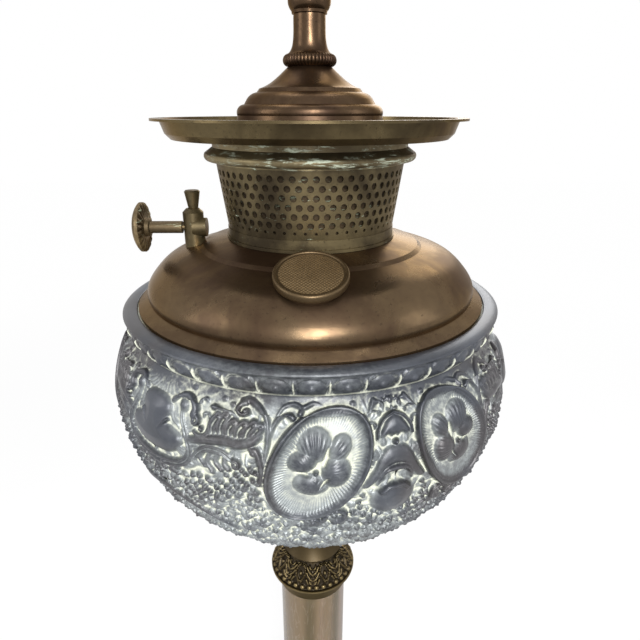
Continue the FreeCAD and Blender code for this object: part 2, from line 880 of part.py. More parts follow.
def filler_placed(shape):
    """Put a shape made on Z, with the neck's rim at zero, on the tilted filler axis."""
    shape.rotate(origin, x_axis, filler_tilt)
    shape.translate(Vector(0, -filler_reach, font_surface_z(filler_reach) + filler_rise))
    shape.translate(filler_direction() * -(filler_cap_plate + filler_gasket_thickness))
    return shape


def filler_direction():
    angle = math.radians(filler_tilt)
    return Vector(0, -math.sin(angle), math.cos(angle))


def filler_neck():
    return filler_placed(tube(filler_neck_radius, filler_neck_radius - filler_neck_wall,
                              -filler_neck_length, 0.0))


def filler_gasket():
    return filler_placed(tube(filler_neck_radius, filler_neck_radius - filler_neck_wall * 2,
                              0.0, filler_gasket_thickness))


def filler_cap():
    """The screw cap, with a plain dished face inside a raised rim."""
    ceiling = filler_gasket_thickness
    top = ceiling + filler_cap_plate
    low = top - filler_cap_height
    inside = filler_cap_radius - filler_cap_wall
    face_radius = filler_cap_radius - filler_cap_rim
    return filler_placed(turned((inside, low), (filler_cap_radius, low), (filler_cap_radius, top),
                                (face_radius, top), (face_radius, top - filler_cap_dish),
                                (0.0, top - filler_cap_dish), (0.0, ceiling), (inside, ceiling)))


def basket_sector():
    """One pitch of the basket: its flat foot and its thin cone, not yet pierced."""
    low = basket_z + basket_sheet
    foot = basket_radius + basket_flare * basket_sheet / basket_height
    outline = [(basket_radius, basket_z), (foot, low), (basket_top_radius, ring_z),
               (basket_top_radius - basket_sheet, ring_z), (foot - basket_sheet, low),
               (font_collar_inner_radius, low)]
    face = section((font_collar_inner_radius, basket_z), outline,
                   lambda radius, height: Vector(radius, 0, height))
    return face.revolve(origin, z_axis, full_turn / basket_hole_count)


def sector_holes():
    """The holes of one pitch: small ones at the foot, then staggered rows of round ones."""
    rows = [(basket_small_row_height, basket_small_hole_radius)]
    for index in range(basket_full_rows):
        rows.append((basket_first_row_height + basket_row_pitch * index, basket_hole_radius))
    pitch = full_turn / basket_hole_count
    holes = []
    for index, (height, radius) in enumerate(rows):
        turns = (0.0, pitch) if index % 2 else (pitch / 2,)
        for turn in turns:
            place = Vector(basket_radius - liner_inset / 2, 0, basket_z + height)
            hole = Part.makeCylinder(radius, basket_flare + liner_inset + overrun, place, x_axis)
            hole.rotate(origin, z_axis, turn)
            holes.append(hole)
    return holes


def is_sector_side(face):
    return isinstance(face.Surface, Part.Plane) and abs(face.Surface.Axis.z) < level_limit


def burner_basket():
    """The perforated cone with a flat foot on the font's collar, joined from equal sectors."""
    sector = basket_sector().cut(Part.makeCompound(sector_holes()))
    skin = Part.makeCompound([face for face in sector.Faces if not is_sector_side(face)])
    whole = Part.makeCompound(round_about(skin, basket_hole_count))
    whole.sewShape()
    return Part.Solid(whole.Shells[0])


def basket_liner():
    """The plain cone close behind the holes."""
    foot = basket_radius - liner_inset
    top = basket_top_radius - liner_inset
    low = basket_z + basket_sheet
    return turned((foot - basket_sheet, low), (foot, low), (top, ring_z), (top - basket_sheet, ring_z))


def basket_ring():
    """The flared ring on top of the basket that carries the pan."""
    inner = basket_top_radius - ring_inset
    outer = basket_top_radius + ring_flare
    flare = shared(ring_flare_shares, basket_top_radius, outer, ring_z, pan_z)
    neck = basket_top_radius + ring_flare * ring_neck_share
    neck_low = ring_z + ring_height * ring_neck_height_share
    return turned((inner, ring_z), (basket_top_radius, ring_z), (basket_top_radius, ring_z + basket_sheet),
                  flare[0], flare[1:], (neck, neck_low), (neck, pan_z), (inner, pan_z))


def pan_tray():
    """The shallow pan with sloped sides and a flat lip."""
    lip = pan_z + pan_depth
    foot = pan_wall_foot_radius
    inner_foot = (foot - pan_sheet, pan_z + pan_corner + pan_sheet / 2)
    inner_corner = (foot - pan_corner - pan_sheet / 2, dome_z)
    return turned((pipe_hole_radius, pan_z), (foot - pan_corner, pan_z), (foot, pan_z + pan_corner),
                  (pan_wall_top_radius, lip - pan_sheet), (pan_radius, lip - pan_sheet), (pan_radius, lip),
                  (pan_wall_top_radius - pan_sheet, lip), inner_foot, inner_corner,
                  (pipe_hole_radius, dome_z))


def dome_solid(inset):
    """The dome's stepped outline, turned solid, set in by its sheet."""
    radius = dome_radius - inset
    height = dome_height - inset
    top = dome_z + height
    first = shared(dome_first_step_shares, 0.0, radius, dome_z, top)
    second = shared(dome_second_step_shares, 0.0, radius, dome_z, top)
    sweep = shared(dome_sweep_shares, 0.0, radius, dome_z, top)
    return turned((0.0, dome_z), (radius, dome_z), first[0], first[1:], second[0], second[1:],
                  sweep[0], sweep[1:], (0.0, top))


def dome_cap():
    shape = dome_solid(0.0).cut(dome_solid(dome_sheet))
    return shape.cut(rod(pipe_hole_radius, dome_z, milled_z + overrun))


def milled_ring():
    middle_z = milled_z + milled_ring_height / 2
    return turned((pipe_hole_radius, milled_z), (milled_ring_foot_radius, milled_z),
                  [(milled_ring_radius, middle_z), (milled_ring_foot_radius, stem_z)],
                  (pipe_hole_radius, stem_z))


def stem():
    """The turned stem: a waist, a bead and a plain top under the lampholder."""
    waist = shared(stem_waist_shares, 0.0, stem_bead_radius, stem_z, holder_z)
    fillet = shared(stem_fillet_shares, 0.0, stem_bead_radius, stem_z, holder_z)
    bead = shared(stem_bead_shares, 0.0, stem_bead_radius, stem_z, holder_z)
    top = shared(stem_top_shares, 0.0, stem_bead_radius, stem_z, holder_z)
    return turned((pipe_hole_radius, stem_z), waist[0], waist[1:], *fillet, bead, *top,
                  (pipe_hole_radius, holder_z))


def converter_pipe():
    """The pipe that holds the pan, dome, stem and lampholder together."""
    return tube(pipe_radius, pipe_bore_radius, pan_z - nut_height - pipe_end_length,
                holder_z + holder_cap_hub_height + pipe_end_length)


def holder_cap():
    """The lampholder's domed cap, with a threaded hub."""
    outer = shell_radius + fit_gap + shell_sheet
    inner = outer - shell_sheet
    rim_z = holder_z + holder_cap_height
    hub_z = holder_z + holder_cap_hub_height
    seat_z = rim_z - holder_cap_lip
    hole = pipe_radius + fit_gap
    foot = holder_cap_foot_radius
    bulge = ((outer + foot) / 2 + holder_cap_lip, (hub_z + seat_z) / 2 - holder_cap_lip / 2)
    return turned((hole, holder_z), (foot, holder_z), (foot, hub_z - shell_sheet), [bulge, (outer, seat_z)],
                  (outer, rim_z), (inner, rim_z), (inner, seat_z), (foot, hub_z), (hole, hub_z))


def shell_foot_z():
    return holder_z + holder_cap_height - holder_cap_lip


def core_z():
    return shell_foot_z() + core_gap


def key_z():
    return core_z() + core_height * key_height_share


def key_rod(radius, start, end):
    """A cylinder on the key's axis, between two distances from the lamp's axis."""
    return Part.makeCylinder(radius, end - start, Vector(start, 0, key_z()), x_axis)


def socket_shell():
    """The lampholder's outer shell, with a rolled lip at its mouth."""
    low = shell_foot_z()
    top = low + shell_height
    inner = shell_radius - shell_sheet
    lip = shell_radius + shell_lip_width
    shape = turned((inner, low), (shell_radius, low), (shell_radius, top - shell_lip_height),
                   (lip, top - shell_lip_height), (lip, top), (inner, top))
    return shape.cut(key_rod(key_radius + lift_gap, 0.0, lip + overrun))


def socket_sleeve():
    """The insulating liner of the shell."""
    outer = shell_radius - shell_sheet - fit_gap
    top = shell_foot_z() + shell_height - shell_lip_height
    shape = tube(outer, outer - sleeve_sheet, shell_foot_z(), top)
    return shape.cut(key_rod(key_radius + lift_gap, 0.0, outer + overrun))


def socket_core():
    """The insulating body that carries the contacts and the switch."""
    radius = shell_radius - shell_sheet - fit_gap - sleeve_sheet - fit_gap
    shape = rod(radius, core_z(), core_z() + core_height)
    return shape.cut(key_rod(key_radius + fit_gap, radius - key_bite, radius + overrun))


def thread_shell():
    """The metal shell that takes the bulb's thread."""
    low = core_z() + core_height
    top = low + thread_shell_height
    floor = low + thread_shell_floor
    inner = thread_shell_radius - thread_shell_sheet
    hole = contact_radius + lift_gap * 2
    return turned((hole, low), (thread_shell_radius, low), (thread_shell_radius, top), (inner, top),
                  (inner, floor), (hole, floor))


def centre_contact():
    low = core_z() + core_height
    return rod(contact_radius, low, low + contact_height)


def key_start():
    return shell_radius - shell_sheet - fit_gap * 2 - sleeve_sheet - key_bite + lift_gap


def key_shaft():
    return key_rod(key_radius, key_start(), shell_radius + key_reach)


def key_thumb():
    """The flat paddle of the turn key."""
    start = shell_radius + key_reach
    half_width = key_thumb_width / 2
    half_thick = key_thumb_thickness / 2
    paddle = block((start, -half_width, key_z() - half_thick),
                   (start + key_thumb_length, half_width, key_z() + half_thick))
    upright = [edge for edge in paddle.Edges if abs(edge.tangentAt(edge.FirstParameter).z) > level_limit]
    outer = [edge for edge in upright if edge.CenterOfMass.x > start + key_thumb_length / 2]
    return paddle.makeFillet(min(half_width, key_thumb_length) / 2, outer)


pieces = {
    "base_feet": base_feet,
    "foot_screws": foot_screws,
    "base_ring": base_ring,
    "base_casting": base_casting,
    "cord_bushing": cord_bushing,
    "base_socle": socle,
    "onyx_column": onyx_column,
    "column_cup": column_cup,
    "bowl_neck": bowl_neck,
    "bowl_foot": bowl_foot,
    "holder_bowl": holder_bowl,
    "bowl_collar": bowl_collar,
    "holder_plate": holder_plate,
    "centre_rod": centre_rod,
    "rod_washer": rod_washer,
    "base_nut": lambda: pipe_nut(socle_z - casting_wall - sheet - nut_height),
    "holder_nut": lambda: pipe_nut(bowl_z + bowl_wall + plate_thickness),
    "font_floor": font_floor,
    "font_bottom": font_bottom,
    "font_top": font_top,
    "font_collar": font_collar,
    "draft_tube": draft_tube,
    "wick_tube": wick_tube,
    "filler_neck": filler_neck,
    "winder_post": winder_post,
    "winder_bushing": winder_bushing,
    "filler_gasket": filler_gasket,
    "filler_cap": filler_cap,
    "winder_shaft": winder_shaft,
    "winder_pinion": winder_pinion,
    "winder_knob": winder_knob,
    "rack_bar": rack_bar,
    "rack_head": rack_head,
    "wick_arm": wick_arm,
    "wick_carrier": wick_carrier,
    "wick": wick,
    "burner_basket": burner_basket,
    "basket_liner": basket_liner,
    "basket_ring": basket_ring,
    "pan_tray": pan_tray,
    "pan_nut": lambda: pipe_nut(pan_z - nut_height),
    "dome_cap": dome_cap,
    "milled_ring": milled_ring,
    "stem": stem,
    "converter_pipe": converter_pipe,
    "holder_cap": holder_cap,
    "socket_shell": socket_shell,
    "socket_sleeve": socket_sleeve,
    "socket_core": socket_core,
    "thread_shell": thread_shell,
    "centre_contact": centre_contact,
    "key_shaft": key_shaft,
    "key_thumb": key_thumb,
}

os.makedirs("parts", exist_ok=True)
for name, make in pieces.items():
    make().exportStep("parts/" + name + ".step")
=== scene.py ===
"""The looks of an antique banquet lamp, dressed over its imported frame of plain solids."""
import logging
import math
from dataclasses import dataclass, field
from enum import Enum
from typing import Optional, Sequence

import bmesh
import bpy
import numpy as np
from mathutils import Matrix, Vector


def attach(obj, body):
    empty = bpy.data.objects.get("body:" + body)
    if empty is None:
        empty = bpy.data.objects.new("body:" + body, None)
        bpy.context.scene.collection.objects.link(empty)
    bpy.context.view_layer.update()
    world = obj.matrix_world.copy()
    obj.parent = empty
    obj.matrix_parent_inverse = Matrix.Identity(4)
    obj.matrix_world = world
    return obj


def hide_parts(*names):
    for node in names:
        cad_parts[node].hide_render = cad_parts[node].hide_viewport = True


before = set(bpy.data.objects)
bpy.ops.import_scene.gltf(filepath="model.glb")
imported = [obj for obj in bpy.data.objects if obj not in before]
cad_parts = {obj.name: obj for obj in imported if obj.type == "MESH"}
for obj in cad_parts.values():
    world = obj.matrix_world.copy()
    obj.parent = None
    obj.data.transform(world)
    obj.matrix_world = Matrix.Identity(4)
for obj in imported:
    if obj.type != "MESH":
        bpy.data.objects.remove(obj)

logging.basicConfig(level=logging.INFO, format="%(message)s")
log = logging.getLogger("lamp")

MM = 0.001
TURN = 2.0 * math.pi
Colour = tuple[float, float, float]
Point2 = tuple[float, float]
Point3 = tuple[float, float, float]
Outline = Sequence[Point2]
Fed = dict[object, object]


class Crossing(Enum):
    """How a raised line of relief is rounded across its width."""

    ROUND = "round"
    SOFT = "soft"
    FLUTED = "fluted"


class Ornament(Enum):
    """The kind of relief that a turned brass or cast piece carries."""

    FOLIATE = "foliate"
    GADROON = "gadroon"


class Nodes:
    """A node tree that is filled step by step."""

    def __init__(self, tree: bpy.types.NodeTree) -> None:
        """Start with an empty tree.

        Args:
            tree: The tree to fill.
        """
        self.tree = tree
        self.tree.nodes.clear()

    def link(self, source: bpy.types.NodeSocket, target: bpy.types.NodeSocket) -> None:
        """Join two sockets."""
        self.tree.links.new(source, target)

    def feed(self, socket: bpy.types.NodeSocket, value: object) -> None:
        """Set a socket to a number or colour, or link a source to it.

        Args:
            socket: The input.
            value: A number, a colour or a source.
        """
        if isinstance(value, bpy.types.NodeSocket):
            self.link(value, socket)
        elif isinstance(value, tuple) and len(value) == 3 and socket.type == "RGBA":
            socket.default_value = (*value, 1.0)
        else:
            socket.default_value = value

    def node(self, kind: str, sockets: Optional[Fed] = None, **settings: object) -> bpy.types.Node:
        """Add a node, set its properties and feed its inputs.

        Args:
            kind: The node's type name.
            sockets: Values or sources for its inputs, by name or number.
            **settings: Properties to set on it.

        Returns:
            The new node.
        """
        made = self.tree.nodes.new(kind)
        for key, value in settings.items():
            setattr(made, key, value)
        for key, value in (sockets or {}).items():
            self.feed(made.inputs[key], value)
        return made

    def maths(self, kind: str, first: object, second: object = 0.0) -> bpy.types.NodeSocket:
        """One arithmetic step on two values."""
        return self.node("ShaderNodeMath", {0: first, 1: second}, operation=kind).outputs[0]


class Graph(Nodes):
    """The nodes of one material."""

    def __init__(self, name: str) -> None:
        """Start a material with a shader.

        Args:
            name: The material's name.
        """
        self.material = bpy.data.materials.new(name)
        self.material.use_nodes = True
        super().__init__(self.material.node_tree)
        self.shader = self.node("ShaderNodeBsdfPrincipled")
        self.out = self.node("ShaderNodeOutputMaterial", {"Surface": self.shader.outputs["BSDF"]})
        self.place = self.node("ShaderNodeTexCoord").outputs["Object"]

    def mapped(self, scale: Point3 = (1.0, 1.0, 1.0), turn: Point3 = (0.0, 0.0, 0.0),
               move: Point3 = (0.0, 0.0, 0.0)) -> bpy.types.NodeSocket:
        """Object coordinates through a Mapping node.

        Args:
            scale: Scale along the three axes.
            turn: Turn about the three axes, in radians.
            move: Shift along the three axes.

        Returns:
            The mapped vector.
        """
        return self.node("ShaderNodeMapping", {"Vector": self.place, "Scale": scale, "Rotation": turn,
                                               "Location": move}).outputs["Vector"]

    def noise(self, scale: float, detail: float = 4.0, rough: float = 0.55,
              vector: Optional[bpy.types.NodeSocket] = None, warp: float = 0.0) -> bpy.types.NodeSocket:
        """A cloudy pattern.

        Args:
            scale: Spots per metre.
            detail: Octaves of finer spots.
            rough: Strength of the finer spots.
            vector: Where to read it; object coordinates without it.
            warp: How far it is pulled about.

        Returns:
            The pattern's value, around a half.
        """
        return self.node("ShaderNodeTexNoise",
                         {"Vector": vector or self.place, "Scale": scale, "Detail": detail,
                                                "Roughness": rough, "Distortion": warp}).outputs["Fac"]

    def ramp(self, source: bpy.types.NodeSocket, low: float, high: float,
             start: float = 0.0, end: float = 1.0) -> bpy.types.NodeSocket:
        """Stretch a value from one range to another, held at its ends.

        Args:
            source: The value to stretch.
            low: Input that gives start.
            high: Input that gives end.
            start: Output at low.
            end: Output at high.

        Returns:
            The stretched value.
        """
        sockets = {"Value": source, "From Min": low, "From Max": high, "To Min": start, "To Max": end}
        return self.node("ShaderNodeMapRange", sockets, interpolation_type="SMOOTHSTEP").outputs["Result"]

    def mix(self, share: object, first: object, second: object) -> bpy.types.NodeSocket:
        """Mix two colours by a share.

        Args:
            share: Nought for the first, one for the second.
            first: First colour.
            second: Second colour.

        Returns:
            The mixed colour.
        """
        return self.node("ShaderNodeMix", {0: share, 6: first, 7: second}, data_type="RGBA").outputs[2]

    def attribute(self, name: str) -> bpy.types.NodeSocket:
        """A value stored on the mesh's points."""
        return self.node("ShaderNodeAttribute", attribute_name=name).outputs["Fac"]

    def split(self, vector: Optional[bpy.types.NodeSocket] = None) -> tuple[bpy.types.NodeSocket, ...]:
        """The three parts of a vector, or of the object coordinates without it."""
        return tuple(self.node("ShaderNodeSeparateXYZ", {0: vector or self.place}).outputs)

    def reach(self, across: bpy.types.NodeSocket, along: bpy.types.NodeSocket) -> bpy.types.NodeSocket:
        """The length of two coordinates taken together."""
        squares = [self.maths("MULTIPLY", part, part) for part in (across, along)]
        return self.maths("SQRT", self.maths("ADD", *squares))

    def bump(self, height: bpy.types.NodeSocket, depth: float, strength: float = 1.0,
             under: Optional[bpy.types.NodeSocket] = None) -> bpy.types.NodeSocket:
        """A normal from a height pattern.

        Args:
            height: The pattern.
            depth: Depth of the pattern, in metres.
            strength: How much of it is used.
            under: A normal that it adds to.

        Returns:
            The bumped normal.
        """
        sockets = {"Height": height, "Distance": depth, "Strength": strength}
        if under is not None:
            sockets["Normal"] = under
        return self.node("ShaderNodeBump", sockets).outputs["Normal"]

    def finish(self, colour: object, rough: object, metal: object,
               normal: Optional[bpy.types.NodeSocket] = None,
               held: Optional[Fed] = None) -> bpy.types.Material:
        """Feed the shader and hand over the material.

        Args:
            colour: Base colour.
            rough: Roughness.
            metal: Metallic share.
            normal: Bumped normal.
            held: Other inputs of the shader, each the same all over.

        Returns:
            The finished material.
        """
        sockets = {"Base Color": colour, "Roughness": rough, "Metallic": metal, **(held or {})}
        if normal is not None:
            sockets["Normal"] = normal
        for key, value in sockets.items():
            self.feed(self.shader.inputs[key], value)
        return self.material


def scaled(colour: Colour, share: float) -> Colour:
    """A colour made darker by a share."""
    return tuple(share * part for part in colour)


@dataclass(frozen=True)
class AgedBrass:
    """Old brass: brown or olive bloom over metal, worn bright where hands reach.

    Attributes:
        name: Material name.
        dark: Colour of the bloom.
        light: Colour of the worn metal.
        bloom: Colour of the pale green bloom.
        green: Share of the surface with pale green bloom.
        rough: Roughness of the worn metal.
        metal: Metallic share.
        brushed: True where turning left fine rings round the axis.
        grit: Depth of the fine pitting, in millimetres.
        relief: True where the mesh stores its relief in attributes; its hollows are then darkened almost to
            black, dark tarnish and painted shade.
        sheen: Share of thin clear lacquer left, the same all over.
    """

    name: str
    dark: Colour
    light: Colour
    bloom: Colour = (0.36, 0.42, 0.32)
    green: float = 0.0
    rough: float = 0.34
    metal: float = 0.85
    brushed: bool = True
    grit: float = 0.05
    relief: bool = False
    sheen: float = 0.10

    def layers(self, graph: Graph) -> tuple:
        """Lay the bloom, wear, pits and turning marks.

        Args:
            graph: The material being built.

        Returns:
            Colour, roughness, metallic share and normal.
        """
        clouds = graph.ramp(graph.noise(26.0, 5.0, 0.6, warp=0.4), 0.34, 0.66)
        fine = graph.ramp(graph.noise(240.0, 3.0, 0.6), 0.3, 0.7)
        colour = graph.mix(clouds, self.dark, self.light)
        colour = graph.mix(graph.maths("MULTIPLY", fine, 0.22), colour, self.dark)
        if self.relief:
            worn = graph.ramp(graph.attribute("relief_peak"), 0.45, 0.95)
            colour = graph.mix(worn, self.dark, graph.mix(0.5, colour, self.light))
            # The relief's hollows are darkened almost to black: dark tarnish and painted shade.
            hollow = graph.ramp(graph.attribute("relief_hollow"), 0.15, 0.6, 0.0, 0.92)
            colour = graph.mix(hollow, colour, scaled(self.dark, 0.22))
        spots = graph.ramp(graph.noise(900.0, 2.0, 0.5), 0.62, 0.74, 0.0, 0.55)
        colour = graph.mix(spots, colour, scaled(self.dark, 0.42))
        rough = graph.ramp(clouds, 0.0, 1.0, self.rough + 0.16, self.rough)
        metal: object = self.metal
        if self.green > 0.0:
            streaks = graph.noise(95.0, 6.0, 0.74, graph.mapped((1.0, 1.0, 5.5)), 0.3)
            patch = graph.ramp(streaks, 0.72 - self.green, 0.78 - self.green * 0.7)
            colour = graph.mix(patch, colour, self.bloom)
            metal = graph.ramp(patch, 0.0, 1.0, self.metal, 0.05)
            rough = graph.maths("ADD", rough, graph.maths("MULTIPLY", patch, 0.3))
        height = graph.noise(700.0, 3.0, 0.6)
        normal = graph.bump(height, self.grit * MM, 0.35)
        if self.brushed:
            rings = graph.noise(60.0, 3.0, 0.7, graph.mapped((0.06, 0.06, 14.0)))
            normal = graph.bump(rings, 0.06 * MM, 0.35, normal)
        return colour, rough, metal, normal

    def material(self) -> bpy.types.Material:
        """Build the finish's nodes.

        Returns:
            The new material.
        """
        graph = Graph(self.name)
        return graph.finish(*self.layers(graph), {"Coat Weight": self.sheen, "Coat Roughness": 0.38,
                                                  "Specular Tint": (0.62, 0.50, 0.38)})


@dataclass(frozen=True)
class CastMetal:
    """Grey cast white metal with pale grime left in the hollows of its relief, and painted light: paler in a
    band down the middle of its front and back, darker at its sides.

    Attributes:
        name: Material name.
        grime: Strength of the pale grime, and of the painted light laid with it.
        relief: True where the mesh stores its relief in attributes.
    """

    name: str
    grime: float = 1.0
    relief: bool = True
    metal_dark: Colour = (0.015, 0.018, 0.025)
    metal_light: Colour = (0.043, 0.048, 0.060)
    brown: Colour = (0.036, 0.028, 0.025)
    # Dusty grey laid on the low ground as a real deposit, and laid thicker down the middle of the front as
    # painted light.
    dusty_grey_and_painted_light: Colour = (0.215, 0.235, 0.24)
    cream: Colour = (0.50, 0.515, 0.425)

    def material(self) -> bpy.types.Material:
        """Build the finish's nodes.

        Returns:
            The new material.
        """
        graph = Graph(self.name)
        clouds = graph.ramp(graph.noise(30.0, 5.0, 0.6, warp=0.5), 0.3, 0.7)
        tint = graph.ramp(graph.noise(14.0, 3.0, 0.5), 0.48, 0.62, 0.0, 0.55)
        base = graph.mix(clouds, self.metal_dark, self.metal_light)
        base = graph.mix(tint, base, self.brown)
        mottle = graph.noise(420.0, 4.0, 0.65)
        if self.relief:
            peak = graph.attribute("relief_peak")
            hollow = graph.attribute("relief_hollow")
            dusty_film_and_painted_light = graph.maths("ADD", graph.ramp(peak, 0.30, 0.80, 0.62, 0.0),
                               graph.ramp(mottle, 0.3, 0.7, -0.12, 0.12))
            # Painted light: near x = -12 mm, down the middle of the front and back, more dusty grey is laid
            # so the metal looks lit from the front; towards the sides less is laid, a painted shade.
            over, _, _ = graph.split()
            away = graph.maths("ABSOLUTE", graph.maths("ADD", over, 0.012))
            front = graph.ramp(away, 0.02, 0.07, 0.17, -0.10)
            dusty_film_and_painted_light = graph.maths("ADD", dusty_film_and_painted_light, front)
            base = graph.mix(graph.ramp(dusty_film_and_painted_light, 0.0, 0.9), base, self.dusty_grey_and_painted_light)
            patchy = graph.ramp(graph.noise(30.0, 4.0, 0.6), 0.25, 0.7, -0.20, 0.14)
            # Cream mask: grime in the hollows and in random patches, plus more down the middle of the front
            # as painted light.
            grime_and_painted_light_sum = graph.maths("ADD", hollow,
                                  graph.maths("ADD", patchy, graph.maths("MULTIPLY", front, 0.4)))
            grime_and_painted_light_sum = graph.maths("ADD", grime_and_painted_light_sum, graph.ramp(mottle, 0.3, 0.7, -0.12, 0.12))
            grime_and_painted_light_share = graph.ramp(grime_and_painted_light_sum, 0.30, 0.98, 0.0, self.grime)
        else:
            grime_and_painted_light_sum = graph.maths("ADD", graph.noise(50.0, 5.0, 0.65), graph.maths("MULTIPLY", mottle, 0.2))
            grime_and_painted_light_share = graph.ramp(grime_and_painted_light_sum, 0.62, 0.78, 0.0, self.grime * 0.5)
        colour = graph.mix(grime_and_painted_light_share, base, self.cream)
        specks = graph.ramp(graph.noise(760.0, 2.0, 0.5), 0.60, 0.72, 0.0, 0.5)
        colour = graph.mix(specks, colour, graph.mix(0.5, colour, self.metal_dark))
        rough = graph.ramp(grime_and_painted_light_share, 0.0, 1.0, 0.44, 0.85)
        metal = graph.ramp(grime_and_painted_light_share, 0.0, 1.0, 0.30, 0.0)
        normal = graph.bump(mottle, 0.09 * MM, 0.4)
        if self.relief:
            normal = graph.bump(peak, 3.0 * MM, 0.75, normal)
        return graph.finish(colour, rough, metal, normal, {"Coat Weight": 0.22, "Coat Roughness": 0.24})


@dataclass(frozen=True)
class Onyx:
    """Polished onyx, mauve-tan with olive-brown streaks that run up the column."""

    name: str
    pale: Colour = (0.150, 0.104, 0.074)
    tan: Colour = (0.110, 0.073, 0.034)
    olive: Colour = (0.054, 0.036, 0.009)
    milk: Colour = (0.205, 0.162, 0.122)

    def material(self) -> bpy.types.Material:
        """Build the finish's nodes.

        Returns:
            The new material.
        """
        graph = Graph(self.name)
        along = graph.mapped((1.0, 1.0, 0.16), (0.05, -0.03, 0.0))
        broad = graph.ramp(graph.noise(30.0, 3.0, 0.45, along, 0.5), 0.40, 0.60)
        colour = graph.mix(broad, self.tan, self.pale)
        streak = graph.noise(40.0, 2.0, 0.4, graph.mapped((1.0, 1.0, 0.10), (0.0, 0.04, 0.3)), 0.7)
        colour = graph.mix(graph.ramp(streak, 0.46, 0.66, 0.0, 0.95), colour, self.olive)
        veins = graph.noise(160.0, 5.0, 0.6, graph.mapped((1.0, 1.0, 0.10), (0.06, 0.0, 1.1)), 1.4)
        line = graph.maths("ABSOLUTE", graph.maths("SUBTRACT", veins, 0.5))
        colour = graph.mix(graph.ramp(line, 0.0, 0.022, 0.35, 0.0), colour, self.milk)
        rough = graph.ramp(broad, 0.0, 1.0, 0.24, 0.34)
        normal = graph.bump(graph.noise(90.0, 2.0, 0.5), 0.05 * MM, 0.3)
        return graph.finish(colour, rough, 0.0, normal,
                            {"Subsurface Weight": 0.12, "Subsurface Radius": (0.006, 0.004, 0.002),
                             "Subsurface Scale": 0.6})


@dataclass(frozen=True)
class CottonWick:
    """Woven cotton, charred along its top edge."""

    name: str
    char_height: float
    cotton: Colour = (0.60, 0.52, 0.36)
    soiled: Colour = (0.30, 0.22, 0.12)
    char: Colour = (0.015, 0.013, 0.012)

    def material(self) -> bpy.types.Material:
        """Build the finish's nodes.

        Returns:
            The new material.
        """
        graph = Graph(self.name)
        across, back, up = graph.split()
        ribs = graph.maths("SINE", graph.maths("MULTIPLY", graph.maths("ARCTAN2", back, across), 70.0))
        rows = graph.maths("SINE", graph.maths("MULTIPLY", up, TURN / (1.3 * MM)))
        weave = graph.maths("MULTIPLY", ribs, rows)
        fuzz = graph.noise(900.0, 3.0, 0.7)
        cloth = graph.mix(graph.ramp(weave, -1.0, 1.0), self.soiled, self.cotton)
        cloth = graph.mix(graph.maths("MULTIPLY", fuzz, 0.5), cloth, self.soiled)
        ragged = graph.maths("ADD", up, graph.maths("MULTIPLY", graph.noise(220.0, 3.0), 4.0 * MM))
        burnt = graph.ramp(ragged, self.char_height - 3.0 * MM, self.char_height)
        colour = graph.mix(burnt, cloth, self.char)
        normal = graph.bump(weave, 0.25 * MM, 0.6)
        return graph.finish(colour, 0.92, 0.0, normal, {"Specular IOR Level": 0.2})


@dataclass(frozen=True)
class SmallFinish:
    """A plain workshop finish with fine texture: steel, leather, fibre, porcelain or moulding.

    Attributes:
        name: Material name.
        dark: Darker colour of its clouds.
        light: Lighter colour of its clouds.
        rough: Roughness.
        metal: Metallic share.
        grain: Spots per metre of its texture.
        depth: Depth of its texture, in millimetres.
        coat: Clear coat, the same all over.
    """

    name: str
    dark: Colour
    light: Colour
    rough: float
    metal: float = 0.0
    grain: float = 300.0
    depth: float = 0.05
    coat: float = 0.0

    def material(self) -> bpy.types.Material:
        """Build the finish's nodes.

        Returns:
            The new material.
        """
        graph = Graph(self.name)
        clouds = graph.ramp(graph.noise(self.grain * 0.2, 5.0, 0.6), 0.3, 0.7)
        fine = graph.noise(self.grain, 4.0, 0.65)
        colour = graph.mix(clouds, self.dark, self.light)
        colour = graph.mix(graph.ramp(fine, 0.55, 0.8, 0.0, 0.4), colour, self.dark)
        rough = graph.ramp(fine, 0.2, 0.8, self.rough, self.rough + 0.12)
        return graph.finish(colour, rough, self.metal, graph.bump(fine, self.depth * MM, 0.5),
                            {"Coat Weight": self.coat})


@dataclass(frozen=True)
class HatchedBrass(AgedBrass):
    """Brass whose flat face is finely hatched on both diagonals, inside a plain rim.

    Attributes:
        centre: Middle of the face, in metres.
        tilt: Lean of the face's axis, in degrees about X.
        pitch: Spacing of the hatching, in millimetres.
        reach: Radius of the hatched face, in millimetres.
    """

    centre: Point3 = (0.0, 0.0, 0.0)
    tilt: float = 0.0
    pitch: float = 0.62
    reach: float = 13.2

    def layers(self, graph: Graph) -> tuple:
        """Add the hatching to the brass.

        Args:
            graph: The material being built.

        Returns:
            Colour, roughness, metallic share and normal.
        """
        colour, rough, metal, normal = super().layers(graph)
        turned = Matrix.Rotation(-math.radians(self.tilt), 3, "X")
        shift = turned @ -Vector(self.centre)
        face = graph.mapped(turn=(-math.radians(self.tilt), 0.0, 0.0), move=tuple(shift))
        across, along, _ = graph.split(face)
        wave = TURN / (self.pitch * math.sqrt(2.0) * MM)
        first = graph.maths("SINE", graph.maths("MULTIPLY", graph.maths("ADD", across, along), wave))
        second = graph.maths("SINE", graph.maths("MULTIPLY", graph.maths("SUBTRACT", across, along), wave))
        inside = graph.ramp(graph.reach(across, along), (self.reach - 0.4) * MM, self.reach * MM, 1.0, 0.0)
        cut = graph.maths("MULTIPLY", graph.maths("MAXIMUM", first, second), inside)
        groove = graph.ramp(cut, 0.55, 0.95, 0.0, 0.5)
        colour = graph.mix(inside, scaled(self.dark, 0.45), colour)
        colour = graph.mix(groove, colour, scaled(self.dark, 0.35))
        return colour, rough, metal, graph.bump(cut, -0.10 * MM, 0.8, normal)


